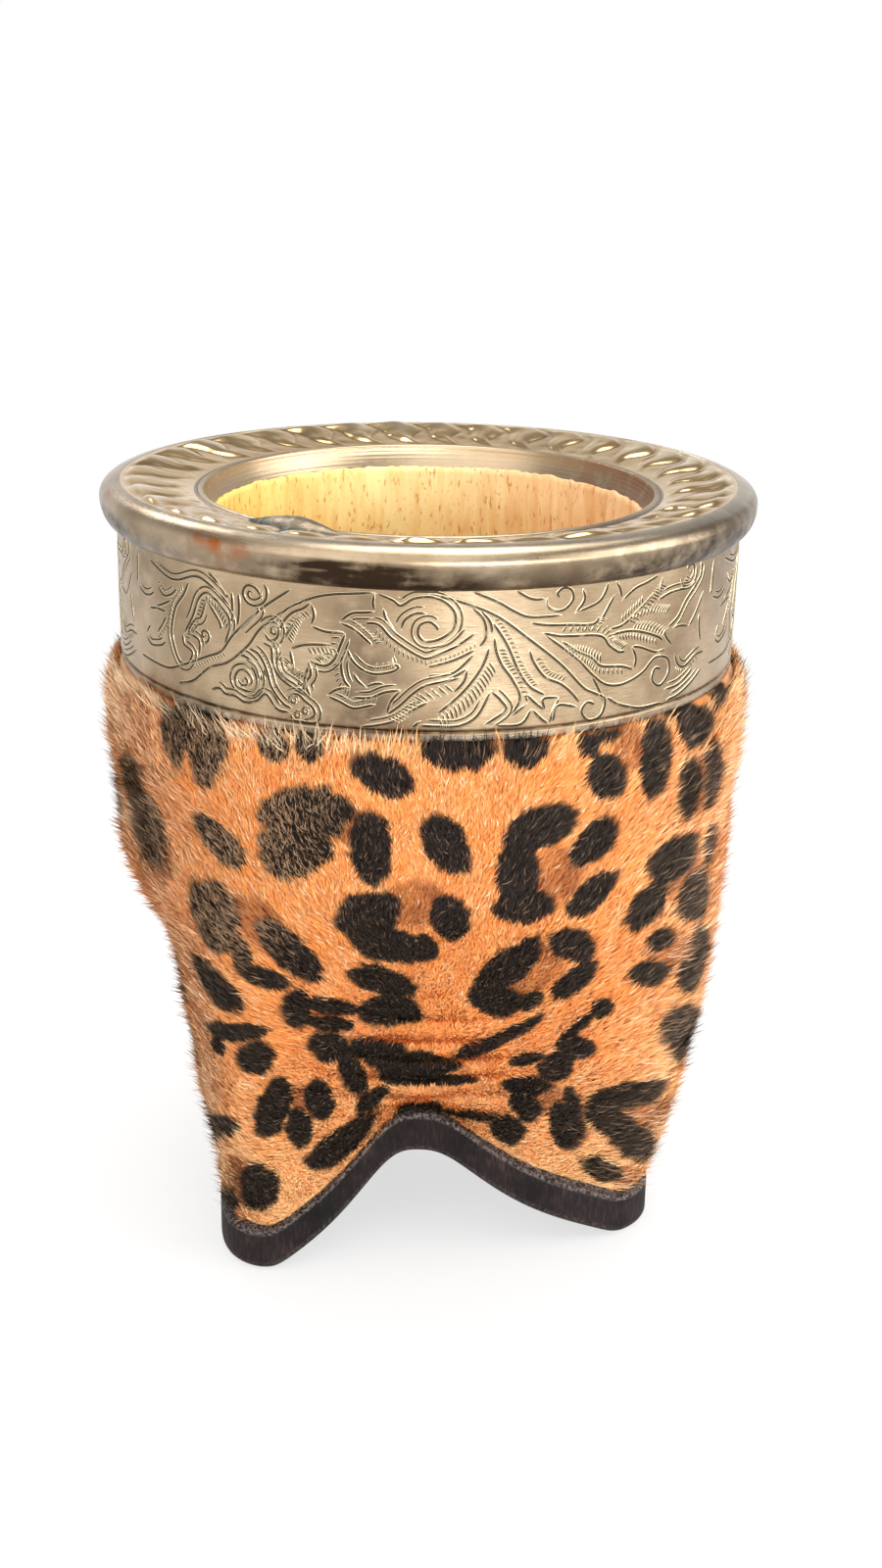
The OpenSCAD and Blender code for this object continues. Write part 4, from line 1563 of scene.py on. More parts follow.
UNDER_STEM: tuple[Line, ...] = (
    (-19.8, 10.6, -19.3, 11.5, -18.2, 11.9, -17.7, 11.2, -17.9, 10.1, -18.9, 9.6, -19.8, 10.6),
    (-16.4, 2, -16.3, 3.2, -15.3, 3.6, -14.4, 2.9, -13.3, 2.1, -13.2, 1.2, -14.1, 0.7, -15, 0.25, -16, 0.5,
     -16.2, 1.2), (-17.3, 8.7, -18, 7.2, -17.4, 5.6, -15.8, 4.8, -14.6, 4.2, -14.3, 6, -13.7, 7.4),
    (-22.6, 7, -20.9, 6, -20.5, 4.2, -21.5, 2.9, -23.3, 3.2, -24, 4.2, -23.3, 5.3, -22.2, 5.3, -21.5, 4.5),
    (-24, 4, -23.75, 3.25, -22.5, 2.9, -21.25, 3.25, -20.75, 4.25, -21.25, 5.75, -22.5, 6.25, -24, 5.75,
     -24.75, 4.75), spiral(-22.6, 4.2, 1, 0.9, 160), (-23.5, 7.25, -22, 7, -20.5, 5.75, -20, 4.25),
    (-22, 8.25, -20.5, 7.75, -19.5, 6.25, -18.75, 4, -17.25, 2.25, -16, 1.75),
    (-20, 9.25, -18.75, 8.75, -18.6, 7.25, -18, 5.75, -16.75, 4.75, -13.75, 3.25),
    (-28, 2, -26.5, 2.5, -25.5, 2, -24, 2, -22.5, 1.5, -20.75, 2, -19.5, 3, -18, 1.4, -16.25, 1.25),
    spiral(-15.75, 2.75, 0.75, 1.1), spiral(-15.25, 1, 0.75, 1.1), spiral(-14.25, 1.6, 0.75, 1.1),
    spiral(-18.25, 10.75, 0.8, 1.1), spiral(-18, 9, 0.6, 1.1),
    (-17.5, 10, -17.25, 11.75, -16, 13.25, -14.5, 14, -13.6, 14.75), (-13.6, 14.75, -13.2, 13.3, -13.6, 12),
    (-13.6, 12, -11.75, 11.5, -9.4, 11.5), (-9.4, 11.5, -10, 10, -10.75, 8.25, -12, 7.4, -14, 7.9),
    (-14, 7.9, -13.6, 6.25, -14.25, 5, -13.6, 3.25), (-17.25, 9.75, -16.25, 11.25, -15.5, 12.25),
    (-16.25, 9, -14, 9.75, -10.75, 10), (-16.25, 9, -16, 7.5, -15.75, 6),
    (-17.25, 8, -17.75, 6.75, -17, 5.5, -14.75, 4.4),
)
RIGHT_END: tuple[Line, ...] = (
    (34.25, 15.5, 34.75, 14.5, 36.25, 14.25, 37.5, 15, 37.6, 16.5),
    (35.25, 15.75, 36, 15.1, 37, 15.6, 36.75, 16.75, 35.75, 16.75, 35.5, 16.1),
    (38.75, 17, 38.75, 15.25, 37.5, 14, 35.5, 12.5, 34, 10.75, 32, 9.75),
    (30, 13.5, 32, 14, 34, 14.1, 36.25, 14, 38, 14.75), (30.75, 16.25, 30.4, 15, 30.4, 14),
    (36.5, 9, 38, 10.5, 39.75, 13), (33, 9.5, 34.7, 9.5, 36.5, 9.1), (31.5, 9.75, 31.75, 8.75, 33.25, 7.25),
    (39, 10.25, 39.1, 8.5, 39.75, 6.25), (33.75, 6.25, 34.5, 4.75, 36, 4.1, 38.5, 5, 41, 5),
    (32, 2, 34.5, 2, 36.75, 2.75, 38, 3.5), (32.5, 0.5, 35, 0.75, 38, 1.75, 40.5, 3),
)
HATCHES = tuple(Hatch(*row) for row in (
    ((-9.9, 8, -9.6, 6, -8.75, 5), -0.9), ((-10, 3.25, -8.5, 2.6, -5.8, 3.25), 0.8),
    ((-4.6, 2, -3, 3.25, -1.5, 4.75, 2, 6.2), -1.3), ((6.75, 8.75, 4.5, 5.25, 1.2, 2.25), 1.7),
    ((-8.5, 12.1, -7.2, 11.1, -6.2, 10.25), 0.9), ((-6, 6.9, -4, 7.25, -3.2, 7.9), 1),
    ((-17.25, 11.75, -16, 13.25, -14.5, 14), -1), ((-9.4, 11.5, -10.75, 8.25, -12, 7.4), -1.2),
    ((-14, 9.75, -12.3, 10, -10.75, 10), -1), ((16, 11, 21, 10.5, 22.5, 9.1, 24, 8.1), 1.1),
    ((17, 12.25, 20, 12, 21, 12.75), -0.8), ((22.5, 10.4, 26, 10.4, 30, 9.1), -1),
    ((18, 9, 20, 8, 21.5, 6.75, 24.5, 6.25), -0.9), ((24.5, 11.4, 27.5, 13.25), 0.9),
    ((-32.5, 8, -30.75, 10.5, -29.5, 13), -1), ((-28, 13.9, -26, 12.75, -24.6, 11), -1),
    ((-35, 8, -34, 11, -32.25, 13), 1), ((-38, 13, -36.5, 12, -34.75, 12.5), 0.8),
    ((-38.5, 6.75, -37, 8.25, -36, 9.5), -0.8), ((8, 9.75, 8.75, 8, 10, 6.25, 11, 4), 1),
    ((12.5, 8.25, 14, 6.25, 16, 5.25), 0.9), ((0, 7.9, 3, 8.75, 5.6, 10), 0.6),
    ((34, 10.75, 35.5, 12.5, 37.5, 14), -0.9), ((34.5, 4.75, 36, 4.1, 38.5, 5), -0.8),
    ((-31, 4.75, -28.5, 6, -26, 7.2), -0.7), ((-20.5, 7.75, -19.5, 6.25, -18.75, 4), 0.6),
    ((-5.5, 12.4, -3, 10.2, 0, 9), -0.8), ((7.5, 13.25, 9.25, 10.5, 10.75, 7.25, 12.2, 5.2), 0.8),
    ((25, 12.3, 28, 14.3, 30, 15.8), -1.5), ((26, 11.2, 29, 11.6, 31.5, 11.2), 1.2),
    ((-17.4, 8, -17.6, 6.8, -16.6, 5.6, -15.4, 5), 1.4, 0.4), ((-15.6, 9.6, -14.4, 12.4), 1.1, 0.4),
    ((26, 10, 28.5, 9.6, 31, 8.6), 1.2), ((16.5, 10.2, 19, 9.8, 21.5, 8.6), -1.3, 0.45),
))


@dataclass
class Collar:
    """Engraved band: a slightly uneven sleeve with a border line, and a scroll repeated three times round."""

    band_r: float
    inside_r: float
    low_z: float
    high_z: float
    border_h: float = 1.3
    repeats: int = 3
    middle: float = 257.5
    edge_round: float = 0.3
    cut_wide: float = 0.32
    hatch_wide: float = 0.25
    double_gap: float = 0.72
    path_step: float = 0.45
    metal: NickelSilver = NickelSilver("band_metal", bright="#ecd9bc", mid="#cfb695", rough=0.42)
    line: Engraved = Engraved()
    burr: float = 0.075

    def outer_r(self, angle: Array, height: Array) -> Array:
        """Radius of the outside, uneven by less than a tenth of a millimetre, with a groove at the border.

        Args:
            angle: degrees round the cup.
            height: height above the floor.

        Returns:
            The radii.
        """
        place = polar(angle, self.band_r, height)
        uneven = 0.06 * grain(place, 9, 51) + 0.03 * grain(place, 3, 52)
        groove = np.maximum(0, 1 - np.abs(height - self.low_z - self.border_h) / 0.28)
        return self.band_r + uneven - 0.22 * groove

    def build(self) -> Piece:
        """Skin the band from its lower outer edge up, over the top and down the inside.

        Returns:
            The piece.
        """
        angle = turn_angles(FINE_RING)
        bend = np.linspace(-np.pi / 2, 0, 5)
        border = self.low_z + self.border_h
        heights = np.concatenate([np.linspace(self.low_z + self.edge_round, border - 0.3, 4)[1:],
                                  np.linspace(border - 0.28, border + 0.28, 9),
                                  np.linspace(border + 0.5, self.high_z, 40)])
        size, corner = self.edge_round, self.outer_r(angle, self.low_z + self.edge_round)
        rows = [polar(angle, corner + size * (np.cos(b) - 1), self.low_z + size * (1 + np.sin(b)))
                for b in bend]
        rows += [polar(angle, self.outer_r(angle, np.full(FINE_RING, z)), z) for z in heights]
        rows += [polar(angle, self.inside_r, z) for z in np.linspace(self.high_z, self.low_z, 6)]
        skin = ring_skin(np.stack(rows))
        cloud = grain(skin.points, 11, 53)
        line = np.maximum(0, 1 - np.abs(skin.points[:, 2] - border) / 0.3)
        away = np.deg2rad(wrapped(turned(skin.points) - self.middle)) * self.band_r
        # Painted dark reflection: a dark band just left of the front, and darker metal from both ends of the
        # front scroll round the back. The border groove darkens with patina.
        dark = 0.62 * bell(away, -7.5, 6) + 0.2 * ease(-away, 24, 38) + 0.2 * ease(away, 20, 32)
        skin.marks["tarnish_and_painted_shade"] = np.clip(0.06 + dark + 0.3 * cloud + line, 0, 1)
        skin.marks["stain_and_painted_reflection"] = 0 * cloud
        # Painted light: the strip below the border line is lightened against its shadow.
        skin.marks["wear_and_painted_highlight"] = 0.45 * ease(border - skin.points[:, 2], 0.3, 0.5)
        return put("collar_band_piece", skin, self.metal.make(), "collar_band")

    def engrave(self) -> None:
        """Lay the scroll and its hatching on the band."""
        doubled = CREST + FLAME_LEAF + LEFT_FIELD + UNDER_STEM + RIGHT_END
        single = STEMS + RIGHT_BRANCH + HANGING_LEAVES
        paths = [smooth_path(line, self.path_step) for line in single + doubled]
        fine = [tick for hatch in HATCHES for tick in self.ticks(hatch)]
        fine += [self.beside(smooth_path(line, self.path_step)) for line in doubled if len(line) > 2 * 3]
        layers = (("band_scroll", paths, self.cut_wide), ("band_hatching", fine, self.hatch_wide))
        finish = self.line.make()
        for name, lines, wide in layers:
            put(name, self.cuts(lines, wide), finish, "collar_band", weld=True)

    def beside(self, path: Array) -> Array:
        """Second line at the left of a path, without its ends.

        Args:
            path: the first line.

        Returns:
            The second.
        """
        _, aside = path_sides(path)
        trim = max(1, len(path) // 10)
        line = (path + self.double_gap * aside)[trim:-trim]
        return np.stack([line[:, 0], np.clip(line[:, 1], 0.3, 16.8)], -1)

    @staticmethod
    def ticks(hatch: Hatch) -> list[Array]:
        """Short paths that leave a line sideways and lean along it.

        Args:
            hatch: the row of cuts.

        Returns:
            One path for each cut.
        """
        path = smooth_path(hatch.line, hatch.pitch)
        along, aside = path_sides(path)
        share = np.linspace(0.12, 1, 5)[:, None, None]
        lines = path + share * 1.3 * hatch.reach * (aside + hatch.lean * share * along * np.sign(hatch.reach))
        return list(lines.transpose(1, 0, 2))

    def cuts(self, paths: list[Array], wide: float) -> Skin:
        """Engraved lines: a low groove between two raised edges, carried along each path.

        A line narrows and flattens towards both of its ends.

        Args:
            paths: paths along the band and above the border.
            wide: half the width.

        Returns:
            All lines, repeated round the band.
        """
        across = np.array([1.0, 0.6, 0.0, -0.6, -1.0, 0.0]) * wide
        raised = np.array([-0.04, self.burr, -0.005, self.burr, -0.04, -0.2])
        depth = np.array([0.0, 0.2, 1.0, 0.2, 0.0, 0.0])
        parts: list[Skin] = []
        for turn in range(self.repeats):
            for path in paths:
                count = len(path)
                _, aside = path_sides(path)
                share = np.linspace(0, 1, count)
                reach = np.linalg.norm(np.diff(path, axis=0), axis=1).sum()
                taper = np.minimum(1, np.minimum(share, 1 - share) * reach / 0.8 + 0.02) ** 0.6
                spread = path[:, None] + aside[:, None] * (across * taper[:, None])[..., None]
                height = np.minimum(self.low_z + self.border_h + spread[..., 1], self.high_z)
                angle = self.middle + turn * 360 / self.repeats + np.rad2deg(spread[..., 0] / self.band_r)
                radius = self.outer_r(angle, height) + np.where(raised > 0, raised * taper[:, None], raised)
                skin = ring_skin(polar(angle, radius, height), closed=False)
                skin.marks["groove"] = np.tile(depth, count) * np.repeat(ease(taper, 0.1, 0.6), len(across))
                parts.append(skin)
        return self.joined(parts)

    @staticmethod
    def joined(parts: list[Skin]) -> Skin:
        """One skin from many, each with its own strip of the map.

        Args:
            parts: the skins.

        Returns:
            The whole.
        """
        starts = np.cumsum([0] + [len(part.points) for part in parts[:-1]])
        faces = np.concatenate([part.faces + start for part, start in zip(parts, starts)])
        side = int(np.ceil(np.sqrt(len(parts))))
        cells = [np.array([k % side, k // side]) for k in range(len(parts))]
        uv = np.concatenate([(part.uv * 0.94 + 0.03 + cell) / side for part, cell in zip(parts, cells)])
        whole = Skin(np.concatenate([part.points for part in parts]), faces, uv)
        whole.marks = {mark: np.concatenate([part.marks[mark] for part in parts]) for mark in parts[0].marks}
        return whole


@dataclass
class Rim:
    """Rolled bead, embossed flange, turned lip and the solder between them."""

    bead_out_r: float
    top_z: float
    bead_mid_r: float
    band_r: float
    flange_low_z: float
    lip_r: float
    crest_z: float
    lip_low_z: float
    bead_r: float = 2.65
    bead_wide_drop: float = 1.9
    flange_edge_drop: float = 0.0
    flange_in_drop: float = 1.75
    lip_thick: float = 2.3
    crest_round: float = 0.5
    lobes: int = 36
    lobe_h: float = 0.7
    lobe_slant: float = 9.0
    lobe_bend: float = 2.0
    solder_at: float = 227.0
    solder_half: Pair = (15.0, 10.5)
    smear_at: Pair = (247, 11)
    # Brown patches on the bead, from patina and painted shade.
    brown_right_at: Pair = (318, 30)
    brown_left_at: Pair = (182, 16)
    rust_at: Pair = (224, 5)
    # Where the lip gets a painted brown reflection of the gourd.
    lip_brown_at: Pair = (8, 30)
    flange_grid: tuple[int, int] = (1008, 44)
    bead_metal: NickelSilver = NickelSilver("bead_metal", bright="#e2d1b4", mid="#c8b396", dull="#9c866a",
                                            smooth=0.13, rough=0.32)
    flange_metal: NickelSilver = NickelSilver("flange_metal", bright="#f7e2bc", mid="#e8c894", dull="#cfaa74",
                                              smooth=0.04, rough=0.12, streak=0.2)
    lip_metal: NickelSilver = NickelSilver("lip_metal", bright="#cbb794", mid="#b59d79", smooth=0.2,
                                           rough=0.36)
    solder: Solder = Solder()

    def build_bead(self) -> Piece:
        """Skin the bead: two quarter ellipses that meet at its widest place, then a step down to the flange.

        Returns:
            The piece.
        """
        angle = turn_angles(FINE_RING)[None]
        wide_z, low_z = self.top_z - self.bead_wide_drop, self.top_z - 2 * self.bead_r
        bend = np.linspace(-np.pi / 2, np.pi / 2, 44)[:, None]
        slope = np.sin(bend)
        height = wide_z + np.where(slope < 0, wide_z - low_z, self.bead_wide_drop) * slope
        inner = np.where(slope < 0, self.band_r, self.bead_mid_r)
        radius = inner + (self.bead_out_r - inner) * np.cos(bend)
        arc = polar(angle, radius + 0.04 * grain(polar(angle, radius, height), 6, 61), height)
        step = [polar(angle, self.bead_mid_r, np.array([[z]])) for z in (self.top_z - 0.3, self.flange_low_z)]
        foot = polar(angle, self.band_r, np.array([[self.flange_low_z]]))
        skin = ring_skin(np.concatenate([arc, *step, foot]))
        slope = np.concatenate([np.repeat(slope, FINE_RING), np.full(3 * FINE_RING, 1.0)])
        place = turned(skin.points) % 360
        cloud = grain(skin.points, 9, 62)
        speck = grain(skin.points * np.array([0.6, 0.6, 5]), 2.6, 66)
        # Painted dark reflection, with some patina: the lower half of the bead is darker.
        low = ease(-slope, -0.35, 0.75) * (0.62 + 0.3 * cloud)
        smear = bell(place, *self.smear_at) * ease(-slope, -0.35, 0.2) * (0.95 + 1.5 * speck)
        matt = ease(-place, -236, -222) * ease(place, 150, 175)
        # Brown patches at the right and low on the left: patina and painted shade.
        brown_and_painted_shade = 0.75 * bell(place, *self.brown_right_at)
        brown_and_painted_shade += 0.8 * bell(place, *self.brown_left_at) * ease(-slope, -0.3, 0.5)
        dark = np.clip(low * (1 - 0.4 * matt) + brown_and_painted_shade + 0.12 + 0.1 * matt + 0.2 * cloud, 0, 1)
        skin.marks["tarnish_and_painted_shade"] = dark + np.maximum(0, smear)
        # Painted highlight on the top of the bead, outside the matt zone.
        skin.marks["wear_and_painted_highlight"] = 0.2 * ease(slope, 0.6, 0.85) * (1 - matt)
        near = bell(place, *self.rust_at) * bell(slope, 0.3, 0.4)
        skin.marks["stain_and_painted_reflection"] = np.clip(near + 0.3 * matt * ease(speck, 0.1, 0.6), 0, 1)
        return put("rim_bead_piece", skin, self.bead_metal.make(), "rim_bead")

    def flange_z(self, angle: Array, share: Array) -> tuple[Array, Array]:
        """Height of the flange: a shallow dish with slanted flame lobes.

        A lobe is a low dome with a full back: broad at the bead, with a tail towards the lip. Across it the
        height is 1 less a power of the distance from its middle line, which leans and bends as an S.

        Args:
            angle: degrees round the cup.
            share: 0 at the lip, 1 at the bead.

        Returns:
            Heights, and how deep each place lies between two lobes, from 0 to 1.
        """
        plain = self.top_z - blend(self.flange_in_drop, self.flange_edge_drop, share)
        inner, outer = 0.06, 0.97
        s = np.clip((share - inner) / (outer - inner), 0, 1)
        lean = self.lobe_slant * s + self.lobe_bend * np.sin(2 * np.pi * s)
        phase = (angle - lean) * self.lobes / 360
        aside = phase - np.round(phase)
        dice = np.random.default_rng(SEED)
        lobe = np.round(phase).astype(int) % self.lobes
        wide = dice.uniform(0.8, 1.0, self.lobes)[lobe]
        high = dice.uniform(0.7, 1.15, self.lobes)[lobe]
        half = (0.16 + 0.34 * ease(s, 0, 0.8)) * wide
        lens = np.abs(aside + 0.06) / (half + 0.06 * np.sign(aside + 0.06))
        crown = np.maximum(0, 1 - lens ** 2.2)
        along = ease(s, 0, 0.25) * (1 - ease(s, 0.84, 1.0)) * (0.35 + 0.65 * s)
        vein = 0.1 * bell(lens, 0.4, 0.12) * (1 - ease(s, 0.55, 0.75))
        gap = bell(lens, 1, 0.16) * along
        place = polar(angle, blend(self.lip_r, self.bead_mid_r, share), 0)
        ripple = 0.045 * grain(place, 1.5, 67) + 0.05 * grain(place, 3.2, 68)
        within = ease(s, 0, 0.12) * (1 - ease(s, 0.9, 1))
        return plain + self.lobe_h * high * along * (crown - vein) + within * ripple, gap

    def build_flange(self) -> Piece:
        """Skin the flange from under the bead over its lobes to the lip, closed underneath.

        Returns:
            The piece.
        """
        ring, rows = self.flange_grid
        angle = turn_angles(ring)[None]
        share = np.concatenate([[1.03], np.linspace(0.995, 0, rows)])[:, None]
        height, gap = self.flange_z(angle, share)
        height = height - 0.3 * (share > 1)
        plain = self.top_z - blend(self.flange_in_drop, self.flange_edge_drop, share)
        top = polar(angle, blend(self.lip_r, self.bead_mid_r, share), height)
        under = polar(angle, np.array([[self.lip_r], [self.bead_mid_r]]), self.flange_low_z)
        skin = ring_skin(np.concatenate([under, top]))
        rim = np.broadcast_to(0.12 * (1 - ease(share, 0, 0.06)), gap.shape)
        cloud = grain(top, 7, 63)
        # Darker in the grooves between lobes, from patina and painted shade, and next to the lip.
        dark = np.clip(0.4 * gap + rim + 0.04 + 0.12 * cloud, 0, 1)
        under_marks = np.zeros(2 * ring)
        # Painted highlight, with polish: the crests of the lobes are lightened.
        skin.marks["wear_and_painted_highlight"] = np.concatenate([under_marks, (0.4 * ease(height - plain, 0.35, 0.65)).ravel()])
        skin.marks["tarnish_and_painted_shade"] = np.concatenate([under_marks, dark.ravel()])
        skin.marks["stain_and_painted_reflection"] = np.zeros(len(skin.points))
        return put("rim_flange_piece", skin, self.flange_metal.make(), "rim_flange")

    def build_lip(self) -> Piece:
        """Skin the lip: its outer wall, a round crest and a funnel with turning lines, down to the gourd.

        Returns:
            The piece.
        """
        angle = turn_angles(RING)[None]
        size = self.crest_round
        bend = np.linspace(0, 0.8 * np.pi, 12)
        crest_r = self.lip_r - size + size * np.cos(bend)
        crest_z = self.crest_z - size + size * np.sin(bend)
        mouth_r = self.lip_r - self.lip_thick
        low = self.lip_low_z + 0.2 * (self.crest_z - self.lip_low_z)
        fall = np.linspace(0, 1, 40)[1:]
        lines = 0.025 * np.sin(fall * 61) * np.sin(fall * 23)
        funnel_r = blend(crest_r[-1], mouth_r, fall) + 0.25 * np.sin(np.pi * fall) + lines
        funnel_z = blend(crest_z[-1], low, fall)
        radius = np.concatenate([[self.lip_r], crest_r, funnel_r, [mouth_r]])[:, None]
        height = np.concatenate([[self.lip_low_z], crest_z, funnel_z, [self.lip_low_z]])[:, None]
        skin = ring_skin(polar(angle, radius, height))
        # Painted shade: darker deep down the funnel; the outer wall is darker too.
        deep = ease(self.crest_z - skin.points[:, 2], 2.6, 4.2)
        outside = np.hypot(skin.points[:, 0], skin.points[:, 1]) > self.lip_r - 0.1
        # Painted reflection of the gourd: a brown patch round the lip's right back, also tinted orange.
        brown_and_painted_shade = 0.95 * bell(wrapped(turned(skin.points)), *self.lip_brown_at)
        dark = 0.12 + 0.3 * deep + 0.12 * outside + brown_and_painted_shade + 0.2 * grain(skin.points, 8, 64)
        skin.marks["tarnish_and_painted_shade"] = np.clip(dark, 0, 1)
        skin.marks["stain_and_painted_reflection"] = 0.4 * brown_and_painted_shade
        # Painted highlight: the funnel is lightened above its deep part.
        skin.marks["wear_and_painted_highlight"] = 0.12 * (1 - deep)
        return put("mouth_lip_piece", skin, self.lip_metal.make(), "mouth_lip")

    def build_solder(self) -> Piece:
        """Skin the solder: a thin fillet at the foot of the lip that swells to one lump over the lip.

        Its section blends from the fillet to the lump by a cosine bell, with noise on its surface.

        Returns:
            The piece.
        """
        angle = turn_angles(FINE_RING)
        foot = self.top_z - self.flange_in_drop
        fillet = np.array([[0.5, -0.2], [0.36, 0.04], [0.22, 0.1], [0.1, 0.16], [0, 0.2], [-0.1, 0.1],
                           [-0.15, -0.2]])
        lump = np.array([[2.7, -0.1], [2.3, 0.45], [1.6, 0.95], [0.7, 1.4], [-0.3, 1.5], [-0.9, 0.6],
                         [-0.6, -0.2]])
        away = wrapped(angle - self.solder_at)
        reach = np.where(away < 0, *self.solder_half)
        swell = np.cos(np.pi / 2 * np.clip(away / reach, -1, 1)) ** 1.2
        section = fillet + swell[:, None, None] * (lump - fillet)
        radius, height = self.lip_r + section[..., 0].T, foot + section[..., 1].T
        place = polar(angle, radius, height)
        rough = swell * 0.09 * grain(place, 1.1, 65)
        skin = ring_skin(polar(angle, radius + rough, height + rough))
        low = np.array([1, 0.85, 0.15, 0, 0, 0, 0])[:, None]
        crusted = np.clip(low + ease(-away, 6, 10), 0, 1) * (swell > 0.02)
        skin.marks["verdigris"] = crusted.ravel()
        return put("solder_run", skin, self.solder.make(), "solder_fillet")


@dataclass
class Gourd:
    """Dried gourd: hidden outside, and a hollow with upright fibres and a ragged edge under the lip."""

    hide: SpottedHide
    mouth_r: float
    lip_low_z: float
    floor_z: float
    cavity_low_z: float = 29.0
    cavity_r: float = 31.35
    belly_z: float = 70.0
    play: float = 1.2
    neck_z: float = 80.0
    edge_rise: float = 1.4
    flesh: GourdFlesh = GourdFlesh()

    def build(self) -> Piece:
        """Skin the gourd up its outside and down its hollow, whose wall is a throat and a rounded bowl.

        Returns:
            The piece.
        """
        angle = turn_angles(RING)[None]
        every = turn_angles(120)[:, None]
        height = np.linspace(self.floor_z + 1, self.hide.band_low_z, 30)
        tight = self.hide.radius(every, np.maximum(height, self.hide.hem_z(every))).min(0)
        neck = self.hide.neck_r - self.hide.thick - 0.4 + 2 * (height < self.neck_z)
        wall = np.minimum(tight - self.hide.thick - self.play, neck)
        outside = polar(angle, wall[:, None], height[:, None])
        bottom = polar(angle, np.array([[0.0], [0.6 * wall[0]]]), self.floor_z)
        shoulder = polar(angle, np.array([[wall[-1]], [self.mouth_r + 2]]), self.lip_low_z - 0.15)
        mouth = polar(angle, 28, 0)
        edge = self.lip_low_z + self.edge_rise + 0.1 * grain(mouth, 2.2, 71) + 0.16 * grain(mouth, 0.7, 72)
        ragged = polar(angle, self.mouth_r + 0.1, edge)
        fall = np.linspace(0, 1, 46)[:, None]
        throat_r = blend(self.mouth_r - 0.3, self.cavity_r, ease(fall))
        throat_z = blend(edge - 0.12, self.belly_z, fall)
        down = np.linspace(1, 0, 40)[1:, None]
        bowl_r = self.cavity_r * (1 - (1 - down) ** 2.2) ** 0.62
        bowl_z = blend(self.cavity_low_z, self.belly_z, down) + 0 * angle
        radius = np.concatenate([throat_r, bowl_r]) + 0 * angle
        level = np.concatenate([throat_z, bowl_z])
        place = polar(angle, 30, level * 0.05)
        ridge = 0.55 * grain(place, 2.4, 73) + 0.3 * grain(place, 0.9, 74)
        pits = -0.3 * np.maximum(0, grain(polar(angle, 30, level * 0.5), 1.7, 75) - 0.45)
        coarse = 1 + 0.9 * ease(np.cos(np.deg2rad(angle - 20)), 0.4, 0.95)
        fade = np.minimum(1, radius / self.cavity_r) ** 2 * ease(edge - level, 0.2, 5) * coarse
        hollow = polar(angle, radius - (ridge + pits) * fade, level)
        skin = ring_skin(np.concatenate([bottom, outside, shoulder, ragged, hollow]), closed=False)
        return put("gourd_bowl", skin, self.flesh.make(), "gourd", weld=True)


